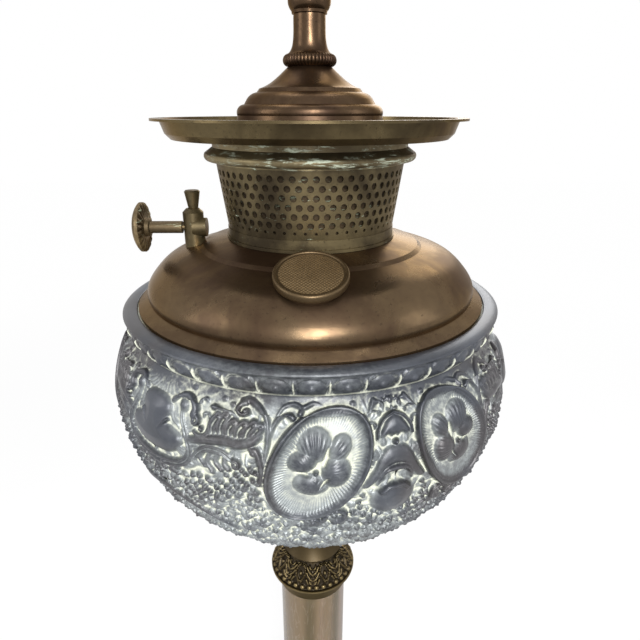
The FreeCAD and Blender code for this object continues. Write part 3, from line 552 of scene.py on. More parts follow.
def arc_through(first: Point2, middle: Point2, last: Point2, count: int) -> list[Point2]:
    """Points on the circle through three points, without the first.

    Args:
        first: Where the arc starts.
        middle: A point on it.
        last: Where it ends.
        count: Number of steps.

    Returns:
        The points after the first.
    """
    (ax, ay), (bx, by), (cx, cy) = first, middle, last
    twice = 2.0 * (ax * (by - cy) + bx * (cy - ay) + cx * (ay - by))
    if abs(twice) < 1e-9:
        return [(ax + (cx - ax) * step / count, ay + (cy - ay) * step / count) for step in range(1,
                                                                                                 count + 1)]
    aa, bb, cc = ax * ax + ay * ay, bx * bx + by * by, cx * cx + cy * cy
    ox = (aa * (by - cy) + bb * (cy - ay) + cc * (ay - by)) / twice
    oy = (aa * (cx - bx) + bb * (ax - cx) + cc * (bx - ax)) / twice
    radius = math.hypot(ax - ox, ay - oy)
    start = math.atan2(ay - oy, ax - ox)
    through = (math.atan2(by - oy, bx - ox) - start) % TURN
    sweep = (math.atan2(cy - oy, cx - ox) - start) % TURN
    if through > sweep:
        sweep -= TURN
    return [(ox + radius * math.cos(start + sweep * step / count),
             oy + radius * math.sin(start + sweep * step / count)) for step in range(1, count + 1)]


def smooth_path(points: Sequence[Point2], per_span: int = 8, closed: bool = False) -> np.ndarray:
    """A smooth curve through points.

    Args:
        points: The points it passes.
        per_span: Steps between two points.
        closed: True where it returns to its start.

    Returns:
        An array of points.
    """
    knots = np.asarray(points, float)
    if closed:
        knots = np.vstack([knots[-1], knots, knots[0], knots[1]])
    else:
        knots = np.vstack([2 * knots[0] - knots[1], knots, 2 * knots[-1] - knots[-2]])
    share = np.linspace(0.0, 1.0, per_span, endpoint=False)[:, None]
    runs = []
    for before, start, end, after in zip(knots[:-3], knots[1:-2], knots[2:-1], knots[3:]):
        runs.append(0.5 * (2 * start + (end - before) * share
                           + (2 * before - 5 * start + 4 * end - after) * share ** 2
                           + (3 * start - before - 3 * end + after) * share ** 3))
    runs.append(knots[-2][None, :])
    return np.vstack(runs)


def softened(outline: Outline, radius: float) -> list[Point2]:
    """Round the sharp corners of a closed outline a little.

    Args:
        outline: Points of the outline.
        radius: Size of the rounding.

    Returns:
        The outline with its sharp corners rounded.
    """
    points = np.asarray(outline, float)
    made: list[Point2] = []
    for before, here, after in zip(np.roll(points, 1, axis=0), points, np.roll(points, -1, axis=0)):
        back, ahead = before - here, after - here
        back_length, ahead_length = np.linalg.norm(back), np.linalg.norm(ahead)
        if back_length < 1e-9 or ahead_length < 1e-9:
            continue
        bend = float(back @ ahead) / (back_length * ahead_length)
        if bend < -0.86:
            made.append(tuple(here))
            continue
        reach = min(radius, 0.4 * back_length, 0.4 * ahead_length)
        start, end = here + back / back_length * reach, here + ahead / ahead_length * reach
        for share in (0.0, 0.33, 0.67, 1.0):
            made.append(tuple((1 - share) ** 2 * start + 2 * share * (1 - share) * here + share ** 2 * end))
    return made


def normals(points: np.ndarray) -> np.ndarray:
    """Unit normals on the right of a line of points.

    Args:
        points: The points, in order.

    Returns:
        A normal for each point.
    """
    run = np.gradient(points, axis=0)
    run /= np.linalg.norm(run, axis=1)[:, None]
    return np.column_stack([run[:, 1], -run[:, 0]])


def spaced(outline: np.ndarray, steps: Sequence[float]) -> tuple[np.ndarray, np.ndarray]:
    """Points at shares of an outline's length.

    Args:
        outline: The outline.
        steps: Shares of its length, from nought to one.

    Returns:
        Distances along it and the points.
    """
    lengths = np.concatenate([[0.0], np.cumsum(np.hypot(*np.diff(outline, axis=0).T))])
    arcs = lengths[-1] * np.asarray(steps)
    return arcs, np.column_stack([np.interp(arcs, lengths, column) for column in outline.T])


def about_axis(radius: np.ndarray, height: np.ndarray, turns: np.ndarray) -> np.ndarray:
    """Points about the lamp's axis, a row for each turn from the front.

    Args:
        radius: Radius of the points, with or without a row for each turn.
        height: Height of the points, likewise.
        turns: Turns from the front, in radians.

    Returns:
        The points.
    """
    radius, height, turns = np.broadcast_arrays(radius, height, turns[:, None])
    return np.stack([radius * np.sin(turns), -radius * np.cos(turns), height], axis=2)


def quads(index: np.ndarray) -> np.ndarray:
    """Faces between the neighbours of a grid of point numbers."""
    corners = [index[:-1, :-1], index[1:, :-1], index[1:, 1:], index[:-1, 1:]]
    return np.stack(corners, axis=2).reshape(-1, 4)


def numbered(first: int, *counts: int) -> np.ndarray:
    """A grid of point numbers that starts at the first."""
    return first + np.arange(math.prod(counts)).reshape(counts)


def wrapped(index: np.ndarray) -> np.ndarray:
    """A grid that starts again at its end, both ways."""
    return np.pad(index, ((0, 1), (0, 1)), mode="wrap")


def between(inner: float, outer: float, low: float, high: float, shares: Outline) -> list[Point2]:
    """Points at shares of the way from one radius to another and from one height to another."""
    return [(inner + (outer - inner) * out, low + (high - low) * up) for out, up in shares]


def new_object(name: str, points: np.ndarray, faces: list, material: bpy.types.Material) -> bpy.types.Object:
    """Make a mesh object at the origin.

    Args:
        name: Its name.
        points: Its points, in millimetres.
        faces: Its faces, as lists of point numbers.
        material: Its finish.

    Returns:
        The new object.
    """
    mesh = bpy.data.meshes.new(name)
    mesh.from_pydata((np.asarray(points, float).reshape(-1, 3) * MM).tolist(), [], faces)
    mesh.materials.append(material)
    mesh.update()
    made = bpy.data.objects.new(name, mesh)
    bpy.context.scene.collection.objects.link(made)
    return made


def store(mesh: bpy.types.Mesh, name: str, values: np.ndarray) -> None:
    """Store a value on each point of a mesh."""
    layer = mesh.attributes.new(name, "FLOAT", "POINT")
    layer.data.foreach_set("value", np.asarray(values, np.float32).ravel())


def shade(made: bpy.types.Object, angle: float = 38.0) -> bpy.types.Object:
    """Shade a piece smooth but for its sharp edges.

    Args:
        made: The piece.
        angle: The sharpest bend that stays smooth, in degrees.

    Returns:
        The same piece.
    """
    made.data.shade_smooth()
    made.data.set_sharp_from_angle(angle=math.radians(angle))
    return made


def lathe(name: str, outline: Outline, material: bpy.types.Material, segments: int = 192,
          angle: float = 38.0) -> bpy.types.Object:
    """Turn a closed outline about the lamp's axis.

    Args:
        name: The piece's name.
        outline: Points (radius, height) in millimetres, anticlockwise seen with the axis on the left.
        material: Its finish.
        segments: Steps round the axis.
        angle: The sharpest bend that stays smooth, in degrees.

    Returns:
        The turned piece.
    """
    section = np.asarray(outline, float)
    points = about_axis(section[:, 0], section[:, 1], np.arange(segments) * TURN / segments + math.pi / 2)
    on_axis = section[:, 0] < 1e-6
    faces = quads(wrapped(numbered(0, segments, len(section)))).reshape(segments, -1, 4)
    kept = faces[:, ~(on_axis & np.roll(on_axis, -1))].reshape(-1, 4)
    made = new_object(name, points, kept.tolist(), material)
    close_poles(made)
    return shade(made, angle)


def close_poles(made: bpy.types.Object) -> None:
    """Merge points that meet on an axis and drop the flat faces left there.

    Args:
        made: The turned piece.
    """
    work = bmesh.new()
    work.from_mesh(made.data)
    bmesh.ops.remove_doubles(work, verts=work.verts, dist=1e-7)
    bmesh.ops.dissolve_degenerate(work, edges=work.edges, dist=1e-8)
    bmesh.ops.recalc_face_normals(work, faces=work.faces)
    work.to_mesh(made.data)
    work.free()


FAR = 1e9


def leaned(across: np.ndarray, up: np.ndarray, lean: float) -> tuple[np.ndarray, np.ndarray]:
    """Local coordinates of something that leans to the right of upright, in degrees."""
    turn = math.radians(lean)
    return across * math.cos(turn) - up * math.sin(turn), across * math.sin(turn) + up * math.cos(turn)


def from_run(angles: np.ndarray, arcs: np.ndarray, scale: np.ndarray, start: np.ndarray,
             end: np.ndarray) -> tuple[np.ndarray, np.ndarray]:
    """How points of a grid lie to a straight run.

    Args:
        angles: Angles of the columns.
        arcs: Distances up the outline of the rows.
        scale: Millimetres in a degree for each row.
        start: Where the run starts.
        end: Where it ends.

    Returns:
        Distance from the run and the share along it.
    """
    ax, ay = (angles - start[0]) * scale, arcs - start[1]
    bx, by = (end[0] - start[0]) * scale, end[1] - start[1]
    along = np.clip((ax * bx + ay * by) / np.maximum(bx * bx + by * by, 1e-9), 0, 1)
    return np.hypot(ax - along * bx, ay - along * by), along


class Relief:
    """Heights of carved relief on a grid over part of a turned surface.

    The grid runs over an angle range and up an outline, and each stamp raises it where the stamp
    stands higher than what is already there.
    """

    def __init__(self, angles: np.ndarray, arcs: np.ndarray, radii: np.ndarray) -> None:
        """Lay out an empty grid.

        Args:
            angles: Angles of the columns, in degrees.
            arcs: Distances up the outline of the rows, in millimetres.
            radii: Radius of the surface at each row, in millimetres.
        """
        self.angles = angles
        self.arcs = arcs
        self.scale = radii * math.pi / 180.0
        self.height = np.zeros((len(angles), len(arcs)))
        self.spread = 1.0

    def scale_at(self, arc: float) -> float:
        """Millimetres in a degree at a distance up the outline."""
        return float(np.interp(arc, self.arcs, self.scale))

    def window(self, points: np.ndarray, beside: float, beyond: float) -> tuple[np.ndarray, ...]:
        """The part of the grid round some points.

        Args:
            points: The points.
            beside: How far to the sides of them, in degrees.
            beyond: How far below and above them, in millimetres.

        Returns:
            The view of the heights, the angles, the distances up and the scale there.
        """
        low, high = points.min(axis=0), points.max(axis=0)
        columns = slice(*np.searchsorted(self.angles, (low[0] - beside, high[0] + beside)))
        rows = slice(*np.searchsorted(self.arcs, (low[1] - beyond, high[1] + beyond)))
        return self.height[columns, rows], self.angles[columns, None], self.arcs[None, rows], self.scale[None,
                                                                                                         rows]

    def near(self, place: Point2, reach: float) -> tuple[np.ndarray, np.ndarray, np.ndarray]:
        """Local coordinates about a place.

        Args:
            place: Angle in degrees and distance up the outline.
            reach: How far round it is needed, in millimetres.

        Returns:
            The view of the heights and the two local coordinates.
        """
        beside = reach / max(self.scale_at(place[1]), 0.05)
        heights, angles, arcs, scale = self.window(np.array([place]), beside, reach)
        across = (angles - place[0]) * scale
        return heights, across, np.broadcast_to(arcs - place[1], across.shape)

    def oval(self, place: Point2, wide: float, tall: float, lean: float) -> tuple[np.ndarray, ...]:
        """How far inside an oval the points about a place lie.

        Args:
            place: Its middle.
            wide: Its width, in millimetres.
            tall: Its height up the surface.
            lean: Turn to the right of upright, in degrees.

        Returns:
            The heights, the two local coordinates, and one in the middle falling to nought at the edge.
        """
        heights, across, up = self.near(place, max(wide, tall) / 2 + 0.5)
        side, along = leaned(across, up, lean)
        return heights, across, up, np.maximum(1.0 - (2 * side / wide) ** 2 - (2 * along / tall) ** 2, 0)

    def boss(self, place: Point2, wide: float, tall: float, rise: float, lean: float = 0.0,
             power: float = 0.5) -> None:
        """Raise an oval cushion.

        Args:
            place: Its middle.
            wide: Its width, in millimetres.
            tall: Its height up the surface.
            rise: How far it stands up.
            lean: Turn to the right of upright, in degrees.
            power: Roundness: a half for a ball, one for a soft swell.
        """
        heights, _, _, inside = self.oval(place, wide, tall, lean)
        np.maximum(heights, rise * inside ** power, out=heights)

    def sink(self, place: Point2, wide: float, tall: float, depth: float, lean: float = 0.0) -> None:
        """Press an oval hollow into what stands there.

        Args:
            place: Its middle.
            wide: Its width, in millimetres.
            tall: Its height up the surface.
            depth: How far it is pressed in.
            lean: Turn to the right of upright, in degrees.
        """
        heights, _, _, inside = self.oval(place, wide, tall, lean)
        heights -= depth * inside ** 0.8
        np.maximum(heights, 0, out=heights)

    def ridge(self, points: Sequence[Point2], wide: float, rise: float, taper: Point2 = (1.0, 1.0),
              kind: Crossing = Crossing.ROUND, swell: float = 0.0) -> None:
        """Raise a line that follows a smooth curve.

        Args:
            points: The curve's points.
            wide: Its width, in millimetres.
            rise: How far it stands up.
            taper: Share of the width at its start and at its end.
            kind: How it is rounded across.
            swell: Extra width in its middle, as a share.
        """
        line = smooth_path(points, 7)
        wide = wide * self.spread
        reach = wide * (1 + swell) / 2 + 0.8
        beside = reach / max(self.scale_at(line[:, 1].mean()) * 0.8, 0.05)
        heights, *grid = self.window(line, beside, reach)
        nearest = np.full(heights.shape, FAR)
        share = np.zeros(heights.shape)
        runs = len(line) - 1
        for step in range(runs):
            gap, along = from_run(*grid, line[step], line[step + 1])
            closer = gap < nearest
            nearest = np.where(closer, gap, nearest)
            share = np.where(closer, (step + along) / runs, share)
        half = wide / 2 * (taper[0] + (taper[1] - taper[0]) * share) * (1 + swell * np.sin(np.pi * share))
        ratio = nearest / np.maximum(half, 0.05)
        inside = np.maximum(1 - ratio ** 2, 0)
        if kind is Crossing.ROUND:
            shape = inside ** 0.5
        elif kind is Crossing.SOFT:
            shape = inside
        else:
            shape = inside ** 0.5 * (1 - 0.55 * np.exp(-(ratio / 0.28) ** 2))
        lift = np.minimum(1.0, half / (wide / 2) * 1.15)
        np.maximum(heights, np.where(ratio < 1, rise * shape * lift, 0), out=heights)

    def leaf(self, spine: Sequence[Point2], wide: float, rise: float, veins: int = 3) -> None:
        """Raise a leaf with a sunk midrib and fluted sides, widest in its middle.

        Args:
            spine: Points from its root to its tip.
            wide: Its full width.
            rise: How far it stands up.
            veins: Number of flutes on each side.
        """
        self.ridge(spine, wide * 0.9, rise * 0.72, (0.45, 0.10), Crossing.FLUTED, 0.55)
        line = smooth_path(spine, 6)
        for index in range(veins):
            share = 0.18 + 0.62 * index / max(veins - 1, 1)
            step = min(int(share * (len(line) - 1)), len(line) - 2)
            root, ahead = line[step], line[min(step + 3, len(line) - 1)]
            scale = self.scale_at(root[1])
            run = np.array([(ahead[0] - root[0]) * scale, ahead[1] - root[1]])
            run /= max(np.linalg.norm(run), 1e-6)
            out = np.array([-run[1], run[0]])
            for hand in (-1, 1):
                tip = run * wide * 0.42 + out * hand * wide * 0.44 * math.sin(math.pi * (0.25 + 0.6 * share))
                middle = run * wide * 0.14 + out * hand * wide * 0.26
                points = [(root[0] + part[0] / scale, root[1] + part[1]) for part in (np.zeros(2), middle,
                                                                                      tip)]
                self.ridge(points, wide * 0.27, rise, (0.5, 0.55), swell=0.5)

    def volute(self, place: Point2, size: float, turns: float, start: float, hand: int,
               wide: float, rise: float) -> None:
        """Raise a scroll that winds into an eye.

        Args:
            place: The eye.
            size: Radius where it starts.
            turns: Number of turns.
            start: Angle of its outer end, in degrees from the right.
            hand: One to wind anticlockwise inwards, minus one for clockwise.
            wide: Width of its line.
            rise: How far it stands up.
        """
        scale = self.scale_at(place[1])
        steps = max(int(turns * 10), 4)
        points = []
        for step in range(steps + 1):
            share = step / steps
            radius = size * (1 - 0.78 * share)
            angle = math.radians(start) + hand * TURN * turns * share
            points.append((place[0] + radius * math.cos(angle) / scale, place[1] + radius * math.sin(angle)))
        self.ridge(points, wide, rise, (1.0, 0.6))
        self.boss(place, 0.68 * size, 0.68 * size, rise)

    def flower(self, place: Point2, size: float, petals: int, rise: float, turn: float = 0.0) -> None:
        """Raise a small open flower with a bead in its middle.

        Args:
            place: Its middle.
            size: Its diameter.
            petals: Number of petals.
            rise: How far it stands up.
            turn: Angle of its first petal, in degrees.
        """
        scale = self.scale_at(place[1])
        for index in range(petals):
            angle = math.radians(turn) + TURN * index / petals
            middle = (place[0] + size * 0.27 * math.cos(angle) / scale,
                      place[1] + size * 0.27 * math.sin(angle))
            self.boss(middle, size * 0.38, size * 0.50, rise * 0.8, 90.0 - math.degrees(angle), 0.5)
            self.sink(middle, size * 0.10, size * 0.34, rise * 0.22, 90.0 - math.degrees(angle))
        self.boss(place, size * 0.26, size * 0.26, rise)

    def shield(self, edge: Sequence[Point2], rise: float, bevel: float, crown: float = 0.0) -> None:
        """Raise a smooth field inside a closed curve.

        Args:
            edge: The curve's points.
            rise: How far the field stands up.
            bevel: Width of its rounded edge.
            crown: Extra rise towards its middle.
        """
        line = smooth_path(edge, 6, closed=True)
        heights, angles, arcs, scale = self.window(line, 1, 1)
        inside = np.zeros(heights.shape, bool)
        nearest = np.full(heights.shape, FAR)
        for start, end in zip(line[:-1], line[1:]):
            nearest = np.minimum(nearest, from_run(angles, arcs, scale, start, end)[0])
            if start[1] != end[1]:
                crossing = (arcs >= min(start[1], end[1])) & (arcs < max(start[1], end[1]))
                meet = start[0] + (arcs - start[1]) / (end[1] - start[1]) * (end[0] - start[0])
                inside ^= crossing & (angles < meet)
        share = np.clip(nearest / bevel, 0, 1)
        swell = np.clip(nearest / (bevel * 4), 0, 1)
        field_height = rise * np.sqrt(1 - (1 - share) ** 2) + crown * np.sin(swell * math.pi / 2)
        np.maximum(heights, np.where(inside, field_height, 0), out=heights)


def blurred(values: np.ndarray, across: float, up: float) -> np.ndarray:
    """Blur a grid whose columns mirror at both sides.

    Args:
        values: The grid.
        across: Spread over the columns, in cells.
        up: Spread over the rows, in cells.

    Returns:
        The blurred grid.
    """
    result = values
    for axis, spread, mode in ((0, across, "symmetric"), (1, up, "edge")):
        reach = max(int(spread * 2.5), 1)
        weights = np.exp(-0.5 * (np.arange(-reach, reach + 1) / spread) ** 2)
        weights /= weights.sum()
        pad = [(reach, reach) if index == axis else (0, 0) for index in range(2)]
        wide = np.pad(result, pad, mode=mode)
        size = result.shape[axis]
        result = sum(weight * np.take(wide, range(step, step + size), axis=axis)
                     for step, weight in enumerate(weights))
    return result


@dataclass
class BowlCarving:
    """The relief of the bowl: medallions with a pansy, dark cartouches, scrolls, leaves and berries.

    Angles are in degrees from the front, distances up the bowl's outline in millimetres. One stretch
    of 60 degrees, from a cartouche's axis to a husk's axis, is carved and then mirrored round the bowl.
    """

    cartouche_axis: float = -41.0
    husk_axis: float = 19.0
    deepest: float = 4.0
    unit: float = 2.65
    medallion: Point2 = (1.35, 120.6)
    medallion_half: Point2 = (19.3, 28.4)
    medallion_lean: float = 30.0
    ring_width: float = 2.8
    flute_count: int = 92
    pansy_eye: Point2 = (0.8, 118.9)
    seed: int = 11
    bold: float = 1.75

    def carve(self, relief: Relief) -> None:
        """Carve the whole stretch into an empty grid.

        Args:
            relief: The grid to carve.
        """
        self.leafy_ground(relief)
        self.foot_bed(relief)
        self.garland(relief)
        relief.spread = self.bold
        self.cartouche(relief)
        self.scrolls(relief)
        self.husk(relief)
        self.below_medallion(relief)
        relief.spread = 1.0
        self.medallion_field(relief)
        self.pansy(relief)

    def finished(self, relief: Relief, across: float, up: float) -> tuple[np.ndarray, np.ndarray]:
        """Round the carving off and find where grime settles.

        Args:
            relief: The carved grid.
            across: Cells per millimetre over the columns.
            up: Cells per millimetre over the rows.

        Returns:
            Heights in millimetres and grime from nought to one.
        """
        raw = np.clip(relief.height, 0, self.unit) * self.deepest / self.unit
        crisp = blurred(raw, 0.28 * across, 0.28 * up)
        soft = blurred(raw, 1.0 * across, 1.0 * up)
        wide = blurred(raw, 3.2 * across, 3.2 * up)
        height = 0.66 * crisp + 0.34 * soft + 0.22 * (wide - 0.45 * soft)
        height = np.clip(height, 0, self.deepest)
        corner = np.clip(soft - crisp, 0, None)
        low = np.clip(1 - height / 1.9, 0, 1)
        grime = np.clip(0.55 * low + 0.62 * corner + 0.16 * np.clip(wide - crisp, 0, None), 0, 1)
        return height, grime

    def leafy_ground(self, relief: Relief) -> None:
        """Cover the ground with small overlapping leaves whose veins fan out from one side.

        Args:
            relief: The grid to carve.
        """
        chance = np.random.default_rng(self.seed + 2)
        centres: list[Point2] = []
        for _ in range(9000):
            arc = float(chance.uniform(4.0, 151.0))
            angle = float(chance.uniform(self.cartouche_axis - 2.0, self.husk_axis + 2.0))
            scale = relief.scale_at(arc)
            if all(math.hypot((angle - other[0]) * scale, (arc - other[1]) * 0.8) > 7.2 for other in centres):
                centres.append((angle, arc))
        place = relief.angles[:, None] * relief.scale[None, :]
        level = np.broadcast_to(relief.arcs[None, :], place.shape)
        sway = 1.5 * np.sin(level / 2.1 + 1.3 * np.sin(place / 3.7)) + 0.9 * np.sin(place / 1.9 + level / 4.3)
        lift = 1.5 * np.sin(place / 2.4 + 1.1 * np.sin(level / 3.3)) + 0.8 * np.sin(level / 1.7 - place / 5.1)
        nearest = np.full(relief.height.shape, FAR)
        second = np.full(relief.height.shape, FAR)
        fan = np.zeros(relief.height.shape)
        for angle, arc in centres:
            across = (relief.angles[:, None] - angle) * relief.scale[None, :] + sway
            up = relief.arcs[None, :] - arc + lift
            gap = np.hypot(across, up * 0.8)
            lean = float(chance.uniform(0.0, TURN))
            root = (4.6 * math.cos(lean), 4.6 * math.sin(lean))
            veins = np.cos(17.0 * np.arctan2(up - root[1], across - root[0]))
            closer = gap < nearest
            second = np.where(closer, nearest, np.minimum(second, gap))
            fan = np.where(closer, veins, fan)
            nearest = np.where(closer, gap, nearest)
        swell = np.clip((second - nearest) / 5.2, 0, 1) ** 0.85
        leaves = swell * (1.20 + 0.38 * fan)
        calm = 0.22 + 0.66 * np.clip((level - 126.0) / 10.0, 0, 1)
        leaves = (1 - calm) * leaves + calm * (0.55 + 0.10 * fan)
        np.maximum(relief.height, leaves, out=relief.height)

    def mirrored(self, points: Sequence[Point2], axis: float) -> list[Point2]:
        """Points of one half followed by those of the other half, back to the start."""
        return list(points) + [(2 * axis - angle, arc) for angle, arc in reversed(points)
                               if abs(angle - axis) > 0.05]

    def cartouche(self, relief: Relief) -> None:
        """Carve the smooth dark shield and its scrolled frame.

        Args:
            relief: The grid to carve.
        """
        half = [(-41.0, 114.2), (-37.2, 114.7), (-34.7, 116.0), (-32.4, 119.0), (-31.2, 122.2),
                (-31.5, 125.6),
                (-33.0, 127.4), (-34.9, 128.6), (-36.2, 130.4), (-35.2, 134.0), (-35.6, 138.0),
                (-38.0, 140.8),
                (-41.0, 141.6)]
        relief.shield(self.mirrored(half, self.cartouche_axis), 1.5, 3.0, 1.15)
        relief.ridge([(-36.3, 130.6), (-38.6, 126.2), (-41.0, 124.2)], 1.3, 2.5, (1.0, 0.7), Crossing.SOFT)
        relief.ridge([(-35.6, 139.5), (-33.5, 143.3), (-31.5, 144.6), (-29.5, 143.0), (-28.2, 139.5),
                      (-28.5, 136.4)], 2.6, 2.5, (0.6, 1.0))
        relief.volute((-28.1, 134.6), 2.4, 0.9, 60.0, -1, 1.5, 2.5)
        relief.boss((-31.9, 139.2), 6.0, 7.4, 1.9, -12.0, 0.7)
        relief.ridge([(-32.3, 137.0), (-32.0, 133.0), (-30.6, 128.0), (-29.3, 122.0), (-29.6, 117.0),
                      (-32.0, 113.0), (-36.0, 110.7), (-41.5, 109.6)], 3.1, 2.35, (0.5, 1.0), Crossing.FLUTED)
        for angle, arc, lean in ((-38.8, 106.6, -14.0), (-35.2, 106.9, -30.0), (-41.0, 105.8, 0.0)):
            relief.boss((angle, arc), 4.6, 5.4, 1.9, lean)

    def scrolls(self, relief: Relief) -> None:
        """Carve the acanthus, canes and fronds between the cartouche and the medallion.

        Args:
            relief: The grid to carve.
        """
        relief.leaf([(-27.9, 147.0), (-26.2, 143.4), (-25.1, 140.0), (-25.0, 136.2)], 4.6, 1.9, 2)
        relief.boss((-23.3, 142.3), 4.6, 4.4, 2.4)
        relief.ridge([(-23.0, 142.6), (-21.7, 142.2), (-19.4, 141.4), (-17.0, 139.5)], 1.8, 2.0,
                     (1.2, 0.5))
        stem = [(-29.8, 125.5), (-27.3, 126.6), (-24.8, 128.0), (-22.0, 128.9), (-19.6, 129.5),
                (-17.0, 129.0),
                (-15.0, 129.6), (-13.2, 131.0), (-12.0, 133.2)]
        relief.ridge(stem, 3.4, 2.3, (0.6, 0.7), swell=0.4)
        lobes = [((-22.8, 129.6), (-23.2, 134.2), (-21.7, 139.0)),
                 ((-20.6, 130.2), (-21.0, 134.9), (-19.9, 139.5)),
                 ((-18.6, 130.4), (-18.9, 134.0), (-17.7, 137.4)),
                 ((-16.6, 130.0), (-16.6, 134.0), (-15.2, 137.4)),
                 ((-14.9, 130.4), (-14.5, 134.4), (-13.0, 137.8)),
                 ((-13.2, 131.6), (-12.7, 134.6), (-11.4, 137.0))]
        for root, middle, tip in lobes:
            relief.ridge([root, middle, tip], 3.3, 2.35, (0.5, 0.85), Crossing.FLUTED, 0.35)
            relief.boss((tip[0], tip[1] - 0.4), 2.6, 2.4, 2.5)
        lower = [((-26.6, 126.4), (-25.2, 124.6), (-22.6, 124.6)),
                 ((-22.4, 127.8), (-19.8, 126.6), (-17.6, 127.0)),
                 ((-18.6, 128.0), (-16.2, 126.2), (-14.4, 126.8))]
        for root, middle, tip in lower:
            relief.ridge([root, middle, tip], 2.2, 1.8, (0.7, 0.3))
        relief.boss((-26.0, 131.9), 3.2, 3.2, 2.5)
        relief.ridge([(-27.9, 129.6), (-26.4, 129.0), (-24.7, 130.1), (-24.1, 132.4)], 1.4, 1.9)
        relief.ridge([(-27.8, 118.4), (-26.6, 121.2), (-24.6, 124.0), (-22.4, 124.6), (-20.0, 123.8),
                      (-18.2, 121.6)], 2.6, 2.3, (0.7, 0.7), Crossing.FLUTED, 0.2)
        relief.volute((-17.2, 119.8), 2.2, 1.0, 100.0, -1, 1.4, 2.4)
        for root, middle, tip in (((-24.9, 123.0), (-26.1, 119.6), (-24.6, 116.4)),
                                  ((-23.2, 123.2), (-24.2, 118.4), (-22.8, 114.4)),
                                  ((-21.4, 122.6), (-22.0, 119.2), (-20.6, 116.4)),
                                  ((-19.6, 122.0), (-19.8, 119.4), (-18.8, 117.2))):
            relief.ridge([root, middle, tip], 2.5, 2.1, (0.6, 0.8))
            relief.boss(tip, 2.4, 2.2, 2.3)
        relief.volute((-15.6, 143.2), 3.4, 1.0, 95.0, 1, 1.8, 2.4)
        relief.ridge([(-16.4, 147.2), (-15.1, 148.0), (-13.4, 146.8), (-11.6, 144.2), (-10.3, 140.5),
                      (-9.8, 136.0),
                      (-9.9, 129.5), (-10.3, 124.0), (-10.2, 119.0)], 2.5, 2.4, (0.8, 0.5))
        relief.ridge([(-12.0, 141.8), (-11.9, 138.8), (-12.6, 135.8)], 1.5, 1.8, (0.6, 0.4))
        relief.boss((-13.0, 126.0), 3.6, 3.4, 2.3)
        relief.ridge([(-13.4, 127.4), (-12.3, 127.2), (-11.5, 123.6), (-10.9, 117.8), (-11.4, 114.2)], 2.5,
                     2.3,
                     (0.8, 0.8))
        relief.ridge([(-14.6, 124.8), (-14.6, 121.0), (-13.2, 117.2)], 1.5, 1.7, (0.4, 0.9))
        relief.ridge([(-9.6, 133.0), (-8.6, 137.8), (-7.2, 141.4), (-5.2, 143.2), (-4.2, 141.2)], 1.9, 2.2,
                     (0.5, 1.0))
        relief.boss((-5.0, 142.0), 3.0, 2.8, 2.4)
        relief.ridge([(-7.9, 142.8), (-6.6, 146.4), (-4.2, 147.6), (-2.4, 146.0), (-2.6, 143.6)], 1.7, 2.1,
                     (0.5, 0.9))
        relief.ridge([(-1.6, 146.4), (0.6, 148.0), (2.6, 147.0)], 1.6, 1.8, (0.9, 0.4))
        for place in ((-30.6, 148.4), (-21.4, 147.0), (-18.9, 145.4), (9.8, 147.2)):
            relief.boss(place, 3.0, 2.6, 1.5, 20.0)

    def husk(self, relief: Relief) -> None:
        """Carve the bell, arched leaves, bulb and beads on the husk's axis.

        Args:
            relief: The grid to carve.
        """
        axis = self.husk_axis
        bell = [(19.0, 140.8), (16.9, 138.6), (15.4, 134.6), (15.0, 131.6), (16.2, 130.7), (17.3, 131.7),
                (18.2, 130.6), (19.0, 131.4)]
        relief.shield(self.mirrored(bell, axis), 1.8, 2.6, 0.8)
        relief.ridge([(19.0, 141.0), (16.6, 138.9), (15.0, 134.8), (14.6, 131.2)], 1.0, 2.4,
                     kind=Crossing.SOFT)
        relief.boss((19.0, 128.8), 3.0, 2.8, 2.6)
        arch = [(19.0, 128.0), (16.7, 127.2), (14.8, 123.8), (13.8, 119.6), (12.2, 114.6), (10.8, 110.2),
                (12.4, 108.6), (14.6, 112.0), (16.4, 117.0), (19.0, 118.8)]
        relief.shield(self.mirrored(arch, axis), 1.5, 2.4, 0.9)
        for shift in (0.0, 1.5, 3.0):
            relief.ridge([(17.6 - shift * 0.1, 126.6 - shift), (15.3 + shift * 0.3, 122.4 - shift * 0.6),
                          (13.9 + shift * 0.45, 117.0 - shift * 0.3), (11.6 + shift * 0.3, 110.4)], 1.1, 2.5,
                         (0.6, 0.6), Crossing.SOFT)
        relief.ridge([(19.0, 117.6), (16.6, 116.9), (15.2, 113.6), (14.7, 110.2)], 2.0, 2.4, (1, 0.5))
        relief.boss((19.0, 101.4), 21.4, 20.6, 2.55, 0.0, 0.6)
        relief.ridge([(15.8, 106.8), (17.4, 109.0), (19.6, 108.6), (20.8, 106.2)], 1.9, 2.7)
        for place in ((11.4, 105.5), (11.0, 98.6), (12.0, 94.6), (13.9, 92.4), (10.6, 102.0)):
            relief.boss(place, 2.7, 2.7, 2.2)
        relief.leaf([(17.0, 148.8), (15.6, 144.6), (14.2, 139.6), (12.9, 134.0)], 4.8, 2.0, 3)
        relief.ridge([(14.9, 147.4), (13.2, 142.4), (11.9, 137.2)], 1.6, 1.9, (0.9, 0.3))
        relief.leaf([(19.0, 142.0), (18.2, 145.0), (17.6, 148.4)], 3.4, 1.9, 2)
        relief.boss((19.0, 146.8), 2.4, 3.4, 2.0)
        relief.ridge([(13.0, 131.0), (12.9, 126.0), (12.0, 121.0), (10.6, 116.0), (9.4, 111.6)], 1.8, 2.1,
                     (0.5, 0.9), Crossing.FLUTED)

